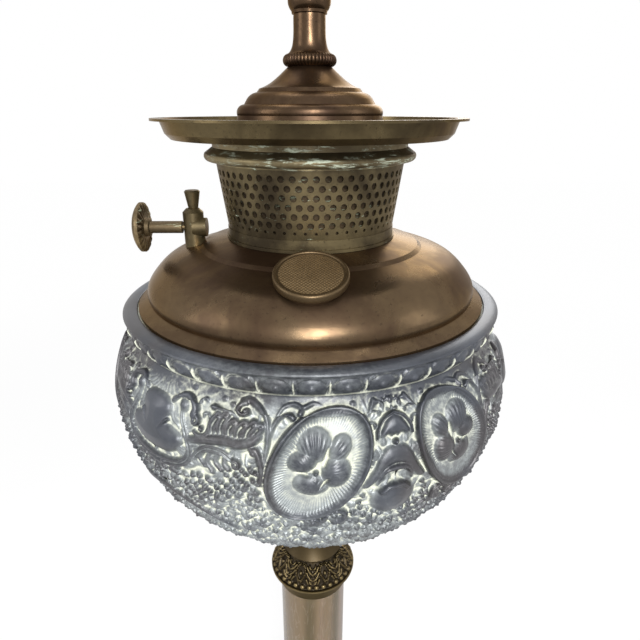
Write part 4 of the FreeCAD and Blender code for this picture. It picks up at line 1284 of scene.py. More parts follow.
    def below_medallion(self, relief: Relief) -> None:
        """Carve the curls and leaves under the medallion.

        Args:
            relief: The grid to carve.
        """
        relief.volute((0.4, 91.2), 3.4, 0.9, 120.0, -1, 1.7, 2.3)
        relief.ridge([(-2.6, 94.6), (-1.4, 91.0), (-1.7, 87.4), (0.2, 85.6)], 2.2, 2.1, (0.5, 0.9))
        relief.ridge([(2.6, 92.6), (3.0, 96.6), (5.2, 99.0), (7.3, 97.2), (7.2, 93.2), (5.0, 91.0)], 1.8, 2.3)
        relief.boss((5.1, 95.0), 3.2, 3.2, 2.0)
        relief.leaf([(12.6, 97.0), (10.8, 92.6), (9.0, 88.0), (7.6, 83.6)], 6.4, 2.2, 3)
        relief.leaf([(2.6, 90.4), (3.6, 87.0), (3.2, 83.0)], 4.4, 2.0, 2)

    def garland(self, relief: Relief) -> None:
        """Carve the garland of berries, the buds under it and the smooth ribbon.

        Args:
            relief: The grid to carve.
        """
        spine = smooth_path([(-31.5, 96.0), (-26.0, 101.0), (-20.5, 107.0), (-16.0, 112.6), (-12.2, 117.4)],
                            9)
        chance = np.random.default_rng(self.seed)
        for index, (angle, arc) in enumerate(spine[::4]):
            for side in (-4.4, -1.5, 1.5, 4.4):
                side += 1.4 if index % 2 else 0.0
                wobble = chance.uniform(-0.4, 0.4, 2)
                place = (angle + (side * 0.74 + wobble[0]) / 1.8, arc - side * 0.66 + wobble[1])
                relief.boss(place, 3.5, 3.5, 2.6 - 0.12 * abs(side), 0.0, 0.75)
        for place, size in (((-23.5, 92.8), 6.4), ((-28.6, 92.0), 5.6), ((-13.4, 107.0), 6.0)):
            relief.flower(place, size, 5, 2.1, 20.0)
        for spine_points in ([(-20.6, 99.6), (-18.0, 97.2), (-15.2, 96.8)],
                             [(-20.4, 95.6), (-17.6, 93.4), (-14.6, 92.6)],
                             [(-18.0, 102.6), (-15.6, 101.2), (-13.2, 101.8)],
                             [(-10.6, 112.6), (-9.2, 107.4), (-6.6, 102.6)],
                             [(-7.8, 100.4), (-5.4, 97.0), (-2.9, 95.6)]):
            relief.leaf(spine_points, 4.6, 2.1, 2)
        relief.ridge([(-42.0, 91.5), (-35.0, 89.4), (-27.5, 84.4), (-20.6, 76.8)], 6.0, 1.9, (1.0, 0.8),
                     Crossing.SOFT)
        relief.ridge([(-42.0, 93.6), (-35.0, 91.6), (-27.0, 86.7), (-19.8, 78.6)], 1.0, 2.2)

    def foot_bed(self, relief: Relief) -> None:
        """Carve the bed of berries, small flowers and leaves that covers the lower bowl.

        Args:
            relief: The grid to carve.
        """
        chance = np.random.default_rng(self.seed + 1)
        low, high = self.cartouche_axis, self.husk_axis
        taken: list[Point3] = []

        def free(angle: float, arc: float, reach: float) -> bool:
            """Whether nothing that was set before lies within reach of a place."""
            scale = relief.scale_at(arc)
            return all(math.hypot((angle - other[0]) * scale,
                                  arc - other[1]) > reach + other[2] for other in taken)

        for tries, kind, reach, top in ((130, "flower", 4.3, 92.0), (700, "leaf", 2.7, 100.0),
                                        (5200, "lump", 1.55, 110.0), (3200, "berry", 0.95, 112.0)):
            for _ in range(tries):
                arc = float(chance.uniform(5.0, top))
                angle = float(chance.uniform(low + 0.3, high - 0.3))
                lean = float(chance.uniform(0.0, 360.0))
                if not free(angle, arc, reach) or (arc > 97.0 and angle > -12.0):
                    continue
                taken.append((angle, arc, reach))
                if kind == "flower":
                    relief.flower((angle, arc), 8.6, 5, 2.5, lean)
                elif kind == "leaf":
                    scale = relief.scale_at(arc)
                    run = (3.1 * math.cos(math.radians(lean)) / scale, 3.1 * math.sin(math.radians(lean)))
                    relief.leaf([(angle - run[0], arc - run[1]), (angle + run[0] * 0.1, arc + run[1] * 0.1),
                                 (angle + run[0], arc + run[1])], 4.6, 2.2, 2)
                elif kind == "lump":
                    relief.boss((angle, arc), float(chance.uniform(3.0, 3.9)),
                                float(chance.uniform(3.2, 4.9)),
                                float(chance.uniform(1.7, 2.4)), lean, 0.7)
                else:
                    relief.boss((angle, arc), 2.3, 2.3, float(chance.uniform(1.2, 1.8)), 0.0, 0.7)

    def medallion_field(self, relief: Relief) -> None:
        """Carve the medallion's ring, its fluted slope and its recess over what is there.

        Args:
            relief: The grid to carve.
        """
        heights, across, up = relief.near(self.medallion, max(self.medallion_half) + 3.0)
        side, along = leaned(across, up, self.medallion_lean)
        side, along = side / self.medallion_half[0], along / self.medallion_half[1]
        reach = np.hypot(side, along)
        angle = np.arctan2(along, side)
        local = np.hypot(across, up) / np.maximum(reach, 1e-6)
        inward = (1.0 - reach) * local
        ring = np.sqrt(np.maximum(1 - ((inward - self.ring_width / 2) / (self.ring_width / 2)) ** 2, 0))
        slope_width = 6.6 - 2.4 * np.sin(angle)
        slope = np.clip((inward - self.ring_width) / slope_width, 0, 1)
        flutes = 0.5 + 0.5 * np.cos(self.flute_count * angle)
        dish = 1.95 - 1.60 * slope ** 0.8
        dish -= 0.85 * flutes * np.clip(slope * 5, 0, 1) * np.clip((1.12 - slope) * 2.2, 0.22, 1)
        field_height = np.where(inward < self.ring_width,
                                np.maximum(ring * 2.65, np.where(inward > 1.4, 1.5, 0)), dish)
        inside = inward > 0
        heights[inside] = field_height[inside]

    def petal(self, relief: Relief, place: Point2, wide: float, tall: float, rise: float, lean: float,
              veins: float) -> None:
        """Raise one petal of the pansy, veined from the flower's eye.

        Args:
            relief: The grid.
            place: The petal's middle.
            wide: Its width.
            tall: Its length.
            rise: How far it stands up.
            lean: Turn to the right of upright, in degrees.
            veins: Depth of its veins, as a share of the rise.
        """
        heights, across, up, inside = relief.oval(place, wide, tall, lean)
        scale = relief.scale_at(place[1])
        from_eye = np.arctan2(up + place[1] - self.pansy_eye[1],
                              across + (place[0] - self.pansy_eye[0]) * scale)
        vein = 1 - veins * (0.5 + 0.5 * np.cos(from_eye * 46.0))
        np.maximum(heights, 0.2 + (rise - 0.2) * inside ** 0.62 * vein * (inside > 0), out=heights,
                   where=inside > 0)

    def pansy(self, relief: Relief) -> None:
        """Carve the pansy in the medallion's recess.

        Args:
            relief: The grid to carve.
        """
        self.petal(relief, (0.5, 130.6), 14.0, 15.6, 2.2, 4.0, 0.22)
        self.petal(relief, (6.2, 128.8), 8.8, 12.6, 2.0, 24.0, 0.20)
        self.petal(relief, (-2.2, 123.6), 12.4, 10.0, 2.45, -16.0, 0.10)
        self.petal(relief, (5.2, 118.4), 12.2, 14.8, 2.5, 18.0, 0.12)
        self.petal(relief, (-0.3, 113.2), 15.0, 12.0, 2.3, 6.0, 0.24)
        relief.ridge([(0.7, 125.4), (1.0, 131.0), (1.4, 137.4)], 1.5, 2.45, (0.8, 0.5), Crossing.SOFT)
        relief.sink((3.1, 125.2), 1.8, 10.0, 1.5, 12.0)
        relief.sink((-2.2, 118.4), 7.0, 1.3, 1.3, 12.0)
        relief.sink((2.5, 114.2), 1.2, 8.4, 1.3, 36.0)
        relief.boss(self.pansy_eye, 2.4, 2.4, 2.3)


class RingRepeater:
    """Geometry Nodes that set equal copies of one piece round the lamp's axis."""

    def __init__(self) -> None:
        """Build the node tree with its named inputs."""
        tree = bpy.data.node_groups.new("ring_repeat", "GeometryNodeTree")
        tree.is_modifier = True
        tree.interface.new_socket("Geometry", in_out="OUTPUT", socket_type="NodeSocketGeometry")
        _, self.piece, self.count, self.weld, self.finish = [
            tree.interface.new_socket(name, in_out="INPUT", socket_type=f"NodeSocket{kind}").identifier
            for name, kind in (("Geometry", "Geometry"), ("Piece", "Object"), ("Count", "Int"),
                               ("Weld", "Float"),
                               ("Finish", "Material"))]
        self.tree = tree
        nodes = Nodes(tree)
        inputs = nodes.node("NodeGroupInput").outputs
        points = nodes.node("GeometryNodePoints", {"Count": inputs["Count"]})
        index = nodes.node("GeometryNodeInputIndex")
        turn = nodes.maths("MULTIPLY", nodes.maths("DIVIDE", index.outputs[0], inputs["Count"]), TURN)
        vector = nodes.node("ShaderNodeCombineXYZ", {"Z": turn})
        source = nodes.node("GeometryNodeObjectInfo", {"Object": inputs["Piece"]})
        copies = nodes.node("GeometryNodeInstanceOnPoints", {
            "Points": points.outputs[0], "Instance": source.outputs["Geometry"],
            "Rotation": vector.outputs[0]})
        real = nodes.node("GeometryNodeRealizeInstances", {0: copies.outputs[0]})
        merge = nodes.node("GeometryNodeMergeByDistance",
                           {"Geometry": real.outputs[0], "Distance": inputs["Weld"]})
        paint = nodes.node("GeometryNodeSetMaterial",
                           {"Geometry": merge.outputs[0], "Material": inputs["Finish"]})
        nodes.node("NodeGroupOutput", {0: paint.outputs[0]})

    def repeat(self, name: str, unit: bpy.types.Object, count: int, material: bpy.types.Material,
               angle: float) -> bpy.types.Object:
        """Set copies of a piece round the axis and bake them to one plain mesh.

        Args:
            name: Name of the result.
            unit: The piece, in its place; it is removed afterwards.
            count: Number of copies.
            material: Finish of the result.
            angle: The sharpest bend that stays smooth, in degrees.

        Returns:
            The baked piece.
        """
        made = bpy.data.objects.new(name, bpy.data.meshes.new(name))
        bpy.context.scene.collection.objects.link(made)
        modifier = made.modifiers.new("copies", "NODES")
        modifier.node_group = self.tree
        modifier[self.piece] = unit
        modifier[self.count] = count
        modifier[self.weld] = 0.002 * MM
        modifier[self.finish] = material
        graph = bpy.context.evaluated_depsgraph_get()
        baked = bpy.data.meshes.new_from_object(made.evaluated_get(graph), preserve_all_data_layers=True,
                                                depsgraph=graph)
        made.modifiers.clear()
        made.data = baked
        baked.name = name
        bpy.data.objects.remove(unit)
        close_poles(made)
        return shade(made, angle)


@dataclass
class LampPart:
    """A sub-assembly of the lamp that dresses one or more bodies."""

    repeater: RingRepeater
    finishes: dict[str, bpy.types.Material]

    def dress(self, **finishes: str) -> None:
        """Give CAD nodes a finish.

        Args:
            **finishes: Node names, with spaces between them, for each finish.
        """
        for finish, nodes in finishes.items():
            for node in nodes.split():
                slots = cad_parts[node].material_slots
                for slot in slots:
                    slot.material = self.finishes[finish]
                if not slots:
                    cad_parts[node].data.materials.append(self.finishes[finish])
                log.info("dressed %s with %s", node, finish)

    def settle(self, made: bpy.types.Object, body: str, slot: str, *nodes: str) -> bpy.types.Object:
        """Let a finished piece ride on its body and stand for CAD nodes.

        Args:
            made: The piece.
            body: The body it rides on.
            slot: The record's material slot; not used.
            *nodes: CAD nodes that it stands for.

        Returns:
            The same piece.
        """
        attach(made, body)
        if nodes:
            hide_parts(*nodes)
        log.info("%s: %d points on %s", made.name, len(made.data.vertices), body)
        return made


@dataclass
class Bowl(LampPart):
    """The cast bowl with its carved belly and the rim of eggs, and the clamp inside it.

    Sizes are in millimetres and follow the frame's solids.
    """

    floor_z: float = 317.2
    belly_z: float = 400.9
    shoulder_z: float = 428.0
    cove_z: float = 432.5
    seat_z: float = 443.5
    belly_radius: float = 103.3
    shoulder_radius: float = 96.7
    cove_radius: float = 89.8
    rim_radius: float = 94.5
    seat_radius: float = 87.6
    mouth_radius: float = 80.5
    bore_radius: float = 26.0
    wall: float = 3.6
    fullness: float = 1.94
    bottom_share: float = 0.93
    columns: int = 280
    rows: int = 320
    backing: float = 1.8
    coarse: int = 10
    egg_count: int = 42
    carving: BowlCarving = field(default_factory=BowlCarving)

    def outline(self, inset: float) -> np.ndarray:
        """The bowl's outline from floor to cove.

        Args:
            inset: How far it is set in.

        Returns:
            Closely spaced points (radius, height).
        """
        half_height = (self.belly_z - self.floor_z) / self.bottom_share - inset
        radius = self.belly_radius - inset
        deep = (self.belly_z - self.floor_z - inset) / half_height
        down = deep * (1 - np.sin(np.linspace(0, math.pi / 2, 240)))
        belly = [(radius * (1 - share ** self.fullness) ** (1 / self.fullness),
                  self.belly_z - half_height * share)
                 for share in down]
        top = self.shoulder_radius - inset
        middle = (top + (radius - top) * 0.75, (self.belly_z + self.shoulder_z) / 2)
        shoulder = arc_through(belly[-1], middle, (top, self.shoulder_z), 60)
        if inset:
            cove = (self.mouth_radius + 6.3, self.cove_z - 1.25)
        else:
            cove = (self.cove_radius, self.cove_z)
        steps = np.linspace(0, 1, 20)[1:, None]
        last = np.asarray(shoulder[-1]) * (1 - steps) + np.asarray(cove) * steps
        return np.vstack([belly, shoulder, last])

    def carved(self) -> tuple[np.ndarray, ...]:
        """Carve one stretch of relief.

        Returns:
            Angles, outline points, depth below the envelope and grime.
        """
        share = np.interp(np.linspace(0, 1, self.rows + 1), (0.0, 0.30, 1.0), (0.0, 0.47, 1.0))
        arcs, points = spaced(self.outline(0.0), share)
        angles = np.linspace(self.carving.cartouche_axis, self.carving.husk_axis, self.columns + 1)
        relief = Relief(angles, arcs, points[:, 0])
        self.carving.carve(relief)
        deepest = self.carving.deepest
        height, grime = self.carving.finished(relief, self.columns / 108.0, self.rows * 0.7 / 80.0)
        fade = np.clip(arcs / 16.0, 0, 1) * np.clip((arcs[-1] - arcs) / 9.0, 0, 1) ** 0.7
        depth = (deepest - height) * fade[None, :]
        return angles, points, depth, grime

    def sector(self, index: int, angles: np.ndarray, points: np.ndarray, depth: np.ndarray,
               grime: np.ndarray) -> bpy.types.Object:
        """Make one sixth of the carved wall as a closed solid.

        Args:
            index: Which sixth.
            angles: Angles of the carved stretch.
            points: Outline points.
            depth: Depth below the envelope.
            grime: Where grime settles.

        Returns:
            The piece.
        """
        span = angles[-1] - angles[0]
        if index % 2:
            depth, grime = depth[::-1], grime[::-1]
        turned = np.radians(angles + span * index)
        step = turned[1] - turned[0]
        wide = np.concatenate([[turned[0] - step], turned, [turned[-1] + step]])
        out, padded = normals(points), np.pad(depth, ((1, 1), (0, 0)), mode="reflect")
        surface = about_axis(points[:, 0] - out[:, 0] * padded, points[:, 1] - out[:, 1] * padded, wide)
        outward = np.cross(surface[2:] - surface[:-2], np.gradient(surface[1:-1], axis=1))
        outward /= np.linalg.norm(outward, axis=2)[:, :, None]
        _, inner = spaced(self.outline(self.wall), np.linspace(0, 1, self.rows // self.coarse + 1))
        share = np.linspace(0, 1, len(inner))
        behind = self.backing * np.clip((share - 0.06) * 9, 0, 1) * np.clip((1 - share) * 14, 0, 1)
        inner = inner - normals(inner) * behind[:, None]
        few = turned[::self.coarse]
        back = about_axis(*inner.T, few)
        inward = about_axis(*-normals(inner).T, few)
        front_index = numbered(0, self.columns + 1, self.rows + 1)
        back_index = numbered(front_index.size, len(few), len(inner))
        faces = quads(front_index).tolist() + quads(back_index.T).tolist()
        for edge, flip in ((np.s_[:, 0], True), (np.s_[:, -1], False), (np.s_[0], False), (np.s_[-1], True)):
            faces += self.ladder(front_index[edge], back_index[edge], flip)
        made = new_object(f"bowl_wall_{index + 1}",
                          np.vstack([surface[1:-1].reshape(-1, 3), back.reshape(-1, 3)]),
                          faces, self.finishes["bowl"])
        extra = back_index.size
        store(made.data, "relief_hollow", np.concatenate([grime.ravel(), np.full(extra, 0.2)]))
        store(made.data, "relief_peak",
              np.concatenate([1 - depth.ravel() / self.carving.deepest, np.zeros(extra)]))
        made.data.shade_smooth()
        made.data.normals_split_custom_set_from_vertices(
            np.vstack([outward.reshape(-1, 3), inward.reshape(-1, 3)]).tolist())
        return made

    def ladder(self, fine: np.ndarray, few: np.ndarray, flip: bool) -> list[list[int]]:
        """Join a finely divided edge to a coarse one.

        Args:
            fine: Points of the fine edge.
            few: Points of the coarse edge.
            flip: True to turn the faces round.

        Returns:
            The triangles between them.
        """
        faces = []
        half = self.coarse // 2
        for step in range(len(few) - 1):
            start = step * self.coarse
            for part in range(self.coarse):
                faces.append((fine[start + part], few[step + (part >= half)], fine[start + part + 1]))
            faces.append((fine[start + half], few[step], few[step + 1]))
        joined = np.array(faces)
        return (joined[:, ::-1] if flip else joined).tolist()

    def rim_unit(self) -> bpy.types.Object:
        """Make the stretch of the rim that holds one egg and half a dart on each side.

        Returns:
            The stretch, closed but for its two sides.
        """
        band_rows, columns = 22, 24
        outer = [(self.cove_radius, self.cove_z)] + arc_through(
            (self.cove_radius, self.cove_z), (self.rim_radius - 0.3, (self.cove_z + self.seat_z) / 2),
            (self.rim_radius, self.seat_z - 0.3), band_rows)
        roll = arc_through(outer[-1], ((self.rim_radius + self.seat_radius) / 2, self.seat_z + 1.1),
                           (self.seat_radius + 0.5, self.seat_z + 1.1), 8)
        rest = [(self.seat_radius + 0.1, self.seat_z + 0.9), (self.seat_radius, self.seat_z + 0.6),
                (self.seat_radius, self.seat_z), (self.mouth_radius + 0.4, self.seat_z),
                (self.mouth_radius, self.seat_z - 0.4), (self.mouth_radius, self.seat_z - 9.0),
                (self.mouth_radius + 6.3, self.cove_z - 1.25)]
        section = np.array(outer + roll + rest)
        loop = len(section)
        outward = normals(section)
        share = np.zeros(loop)
        share[:band_rows + 1] = np.linspace(0, 1, band_rows + 1)
        band = np.zeros(loop, bool)
        band[:band_rows + 1] = True
        across = np.linspace(-1, 1, columns + 1)[:, None]
        up = share[None, :]
        edge = (np.abs(across) / 0.84) ** 3.0 + (np.clip(up - 0.04, 0, 1) / 0.76) ** 2.6
        cushion = np.clip(1 - edge, 0, 1) ** 0.5 * np.clip((up - 0.02) * 16, 0, 1)
        boss = np.clip(1 - (across / 0.26) ** 2 - ((up - 0.42) / 0.15) ** 2, 0, 1) ** 0.5
        line = np.exp(-((edge - 1.35) / 0.22) ** 2) * np.clip((up - 0.15) * 4, 0, 1)
        dart = np.exp(-((1 - np.abs(across)) / 0.075) ** 2)
        dart = dart * np.clip((up - 0.02) * 12, 0, 1) * np.clip((0.80 - up) * 6, 0, 1)
        rise = np.maximum(np.maximum(cushion * 1.05 + boss * 0.95, line * 0.95), dart * 1.5)
        sunk = np.clip(up * 7, 0, 1) * np.clip((1 - up) * 7, 0, 1) * band[None, :]
        depth = np.clip(2.0 - rise, 0, 2.0) * sunk
        points = about_axis(section[:, 0] - outward[:, 0] * depth, section[:, 1] - outward[:, 1] * depth,
                            np.radians(across[:, 0] * 180.0 / self.egg_count))
        faces = quads(wrapped(numbered(0, columns + 1, loop))[:-1])
        made = new_object("rim_unit", points, faces.tolist(), self.finishes["bowl"])
        gap = np.exp(-((edge - 1.0) / 0.16) ** 2) * 0.35
        grime = np.where(band[None, :], np.maximum(np.maximum(dart * 1.2, line * 0.38), gap), 0.0)
        grime = np.where(up * band[None, :] > 0.93, 0.0, grime)
        foot = np.where(band[None, :], np.clip(1 - up * 9, 0, 1), 0)
        seat = np.abs(section[:, 0] - self.seat_radius) + np.abs(section[:, 1] - self.seat_z) < 0.75
        foot = np.where(seat[None, :], 0.75, foot)
        store(made.data, "relief_hollow", np.clip(np.maximum(grime, foot), 0, 1))
        store(made.data, "relief_peak", np.where(band[None, :], np.clip(0.70 + cushion * 0.3, 0, 1), 0.9)
              + np.zeros((columns + 1, loop)))
        return made

    def build(self) -> None:
        """Make and dress every piece of the bowl."""
        stretch = self.carved()
        for index in range(6):
            made = self.sector(index, *stretch)
            self.settle(made, "stand", "white_metal", *(("holder_bowl",) if index == 0 else ()))
        rim = self.repeater.repeat("bowl_rim", self.rim_unit(), self.egg_count, self.finishes["bowl"], 60.0)
        self.settle(rim, "stand", "white_metal", "bowl_collar")
        section = [(self.bore_radius, self.floor_z), self.outline(0.0)[0], self.outline(self.wall)[0],
                   (self.bore_radius, self.floor_z + self.wall)]
        ring = lathe("bowl_floor_ring", softened(section, 0.25), self.finishes["plain_cast"])
        self.settle(ring, "stand", "white_metal", "bowl_foot")


def carved_turning(name: str, outline: np.ndarray, depth: np.ndarray, grime: np.ndarray,
                   material: bpy.types.Material, angle: float = 60.0) -> bpy.types.Object:
    """Turn a closed outline about the axis and sink its surface by a depth that differs round it.

    Args:
        name: The piece's name.
        outline: Points (radius, height), anticlockwise seen with the axis on the left.
        depth: Depth below the outline for each angle and point, in millimetres.
        grime: Where grime settles, for each angle and point; brass that reads it is darkened there, dark
            tarnish and painted shade.
        material: Its finish.
        angle: The sharpest bend that stays smooth, in degrees.

    Returns:
        The piece.
    """
    section = np.asarray(outline, float)
    run = np.roll(section, -1, axis=0) - np.roll(section, 1, axis=0)
    run /= np.linalg.norm(run, axis=1)[:, None]
    turns = np.arange(len(depth)) * TURN / len(depth)
    points = about_axis(section[:, 0] - run[:, 1] * depth, section[:, 1] + run[:, 0] * depth, turns)
    made = new_object(name, points, quads(wrapped(numbered(0, *depth.shape))).tolist(), material)
    store(made.data, "relief_hollow", grime)
    store(made.data, "relief_peak", 1 - np.clip(depth / max(float(depth.max()), 1e-6), 0, 1))
    return shade(made, angle)


@dataclass
class OrnateTurning:
    """A turned casting whose outer face carries repeated relief.

    Attributes:
        face: Outer face of the outline, from its foot to its top.
        back: The rest of the outline, from the top inwards and down.
        foot: Plain part of the outline below the face.
        foot_grime_and_shadow: How grimy that plain part is; on the cup's brass its darkening is a painted
            shadow.
        repeats: Number of times the ornament comes round.
        ornament: Kind of relief.
        deepest: Depth of its ground, in millimetres.
        fade: Distance over which the relief fades at both ends.
        step: Spacing of the mesh up the face.
        columns: Columns of the mesh in half a repeat.
    """

    face: Outline
    back: Outline
    repeats: int
    ornament: Ornament
    deepest: float
    fade: float = 3.0
    step: float = 0.5
    columns: int = 24
    foot: Outline = ()
    foot_grime_and_shadow: float = 0.15

    def stamps(self, relief: Relief, edge: float, length: float) -> None:
        """Lay the ornament on half a repeat, from its middle at nought to its edge.

        Args:
            relief: The grid.
            edge: Angle of the half repeat's edge.
            length: Length of the face.
        """
        deep = self.deepest
        wide = edge * 2 * float(relief.scale.mean())
        if self.ornament is Ornament.GADROON:
            for place in np.arange(1, 5) / 4 - 0.125:
                relief.ridge([(edge * place, rise * length) for rise in (0.08, 0.5, 0.92)], wide / 8 * 0.86,
                             deep,
                             (0.7, 1.0))
            return
        relief.leaf([(0.0, rise * length) for rise in (0.10, 0.45, 0.86)], wide * 0.40, deep, 4)
        for rise in (0.26, 0.46, 0.62):
            relief.ridge([(0.0, (rise - 0.14) * length), (edge * 0.30, (rise - 0.05) * length),
                          (edge * 0.50, (rise + 0.10) * length)], wide * 0.12, deep * 0.85, (0.6, 0.8))
        relief.ridge([(edge, 0.06 * length), (edge * 0.88, 0.30 * length), (edge * 0.62, 0.52 * length),
                      (edge * 0.70, 0.72 * length)], wide * 0.10, deep * 0.9, (1.0, 0.7), Crossing.FLUTED)
        relief.volute((edge * 0.80, 0.76 * length), wide * 0.085, 1.1, 180.0, -1, wide * 0.05, deep * 0.9)
        relief.boss((edge, 0.52 * length), wide * 0.14, wide * 0.20, deep * 0.8)
        for rise in (0.14, 0.30, 0.90):
            relief.boss((edge, rise * length), wide * 0.085, wide * 0.085, deep * 0.7)

    def build(self, name: str, material: bpy.types.Material,
              beads: Sequence[Point3] = ()) -> bpy.types.Object:
        """Make the piece.

        Args:
            name: Its name.
            material: Its finish.
            beads: Rows of beads: share up the face, diameter and number.

        Returns:
            The piece.
        """
        face = np.asarray(self.face, float)
        rows = max(int(spaced(face, (1.0,))[0][0] / self.step), 12)
        arcs, points = spaced(face, np.linspace(0, 1, rows + 1))
        length = float(arcs[-1])
        edge = 180.0 / self.repeats
        angles = np.linspace(0, edge, self.columns + 1)
        relief = Relief(angles, arcs, points[:, 0])
        self.stamps(relief, edge, length)
        half = relief.height
        full = np.vstack([np.vstack([half[:-1], half[:0:-1]])] * self.repeats)
        turns = np.arange(len(full)) * 360.0 / len(full)
        for share, size, count in beads:
            pitch = 360.0 / count
            away = (turns % pitch) - pitch / 2
            across = np.radians(away)[:, None] * points[None, :, 0]
            up = arcs[None, :] - share * length
            inside = 1 - (2 * across / size) ** 2 - (2 * up / size) ** 2
            lane = np.abs(up) < size * 0.62
            full = np.where(lane, np.where(inside > 0, self.deepest * np.sqrt(np.maximum(inside, 0)), 0),
                            full)
        height = np.clip(full, 0, self.deepest)
        fade = np.clip(arcs / self.fade, 0, 1) * np.clip((arcs[-1] - arcs) / self.fade, 0, 1)
        depth = (self.deepest - height) * fade[None, :]
        back = np.asarray(self.back, float)
        foot = np.asarray(self.foot, float).reshape(-1, 2)
        section = np.vstack([foot, points, back])
        under, extra = np.zeros((len(depth), len(foot))), np.zeros((len(depth), len(back)))
        margin = 40
        around = blurred(np.vstack([full[-margin:], full, full[:margin]]), 5.0, 5.0)[margin:-margin]
        sunk = depth / self.deepest
        # High in the hollows of the relief: pale grime on cast metal, dark tarnish and painted shade on
        # brass.
        grime = np.clip(2.6 * (around - full) / self.deepest + 0.22 * sunk, 0, 1) * (sunk > 0)
        return carved_turning(name, section, np.hstack([under, depth, extra]),
                              np.hstack([under + self.foot_grime_and_shadow, grime, extra + 0.15]), material)


@dataclass
class Stand(LampPart):
    """The base, the onyx column and the foliate cup under the bowl. Sizes are in millimetres."""

    casting_z: float = 25.0
    casting_top: float = 66.0
    casting_radius: float = 86.0
    casting_neck: float = 31.0
    casting_wall: float = 5.0
    column_z: float = 95.0
    socle_radius: float = 29.0
    socle_waist: float = 23.5
    socle_bead: float = 26.5
    cup_z: float = 245.0
    cup_foot: float = 22.0
    cup_radius: float = 27.0
    crown_radius: float = 15.5
    neck_z: float = 274.0
    bore: float = 5.1

    def cup(self) -> None:
        """The small foliate cup with its row of beads, and its plain lip painted dark, a painted shadow under
        the crown.
        """
        low = between(self.cup_foot, self.cup_radius, self.cup_z, self.neck_z,
                      ((0.0, 0.22), (0.12, 0.26), (0.76, 0.33), (0.96, 0.36), (1.0, 0.39)))
        crown = between(self.cup_radius, self.crown_radius, self.cup_z, self.neck_z,
                        ((0.0, 0.42), (0.10, 0.55), (0.36, 0.76), (0.72, 0.92), (1.0, 0.99)))
        # The 0.40 at the end darkens the plain lip: a painted shadow under the crown and beads.
        turning = OrnateTurning(smooth_path(crown, 6),
                                ((self.crown_radius - 0.6, self.neck_z), (self.bore, self.neck_z),
                                 (self.bore, self.cup_z)),
                                9, Ornament.FOLIATE, 1.7, 0.7, 0.3, 24,
                                ((self.cup_foot - 0.4, self.cup_z), (self.cup_foot, self.cup_z + 0.4), *low),
                                0.40)
        made = turning.build("cup_foliate", self.finishes["cup"], ((0.12, 3.5, 36),))
        self.settle(made, "stand", "cup_brass", "column_cup")

    def socle(self) -> None:
        """The waisted brass piece under the column, gadrooned round its foot."""
        bead_z = self.column_z - 7.0
        middle = (self.casting_top + bead_z) / 2
        low = (self.socle_radius, self.casting_top + 0.3)
        flare = [low] + arc_through(low, (self.socle_waist, middle), (self.socle_waist, bead_z), 24)
        roll = arc_through((self.socle_waist, bead_z), (self.socle_bead, bead_z + 3.5),
                           (self.socle_waist, self.column_z), 10)
        turning = OrnateTurning(flare, (*roll, (self.bore, self.column_z), (self.bore, self.casting_top)),
                                6, Ornament.GADROON, 0.9, 3.0, 0.5, 32,
                                ((self.socle_radius - 0.4, self.casting_top),))
        self.settle(turning.build("socle_gadrooned", self.finishes["cup"]), "stand", "cup_brass",
                    "base_socle")

    def casting(self) -> None:
        """The round base casting, with leafy relief on its dome and a smooth neck."""
        dome = ((0.93, 0.05), (0.91, 0.20), (0.80, 0.42), (0.58, 0.58), (0.36, 0.63))
        neck = ((0.31, 0.66), (0.16, 0.73), (0.05, 0.86), (0.0, 1.0))
        outer = (self.casting_neck, self.casting_radius, self.casting_z, self.casting_top)
        wall = self.casting_wall
        inner = (self.casting_neck - wall, self.casting_radius - wall, self.casting_z,
                 self.casting_top - wall)
        face = smooth_path(between(*outer, dome), 8)
        sweep = smooth_path(between(*outer, neck), 5)
        hollow = smooth_path(between(*inner, dome[1:]), 3)
        back = [*sweep, (self.bore, self.casting_top), (self.bore, self.casting_top - wall),
                (self.casting_neck - wall, self.casting_top - wall), *hollow[::-1],
                (self.casting_radius - wall, self.casting_z)]
        turning = OrnateTurning(face, back, 8, Ornament.FOLIATE, 2.8, 3.0, 0.6, 44,
                                ((self.casting_radius, self.casting_z),))
        made = turning.build("base_foliate", self.finishes["bowl"], ((0.05, 3.4, 110), (0.955, 2.8, 80)))
        self.settle(made, "stand", "white_metal", "base_casting")

    def build(self) -> None:
        """Make and dress the stand."""
        self.dress(plain_cast="base_feet base_ring base_casting bowl_foot holder_bowl bowl_collar",
                   steel="foot_screws holder_plate centre_rod rod_washer base_nut holder_nut",
                   cup="base_socle column_cup bowl_neck", fittings="cord_bushing", onyx="onyx_column")
        self.cup()
        self.socle()
        self.casting()


def placed(made: bpy.types.Object, place: Point3, angle: float, axis: str) -> bpy.types.Object:
    """Turn a piece and move it, in its mesh.

    Args:
        made: The piece, made upright on the lamp's axis.
        place: Where it goes, in millimetres.
        angle: Its turn, in degrees.
        axis: The axis of that turn.

    Returns:
        The same piece.
    """
    made.data.transform(Matrix.Translation(Vector(place) * MM) @ Matrix.Rotation(math.radians(angle), 4,
                                                                                 axis))
    made.data.update()
    return made


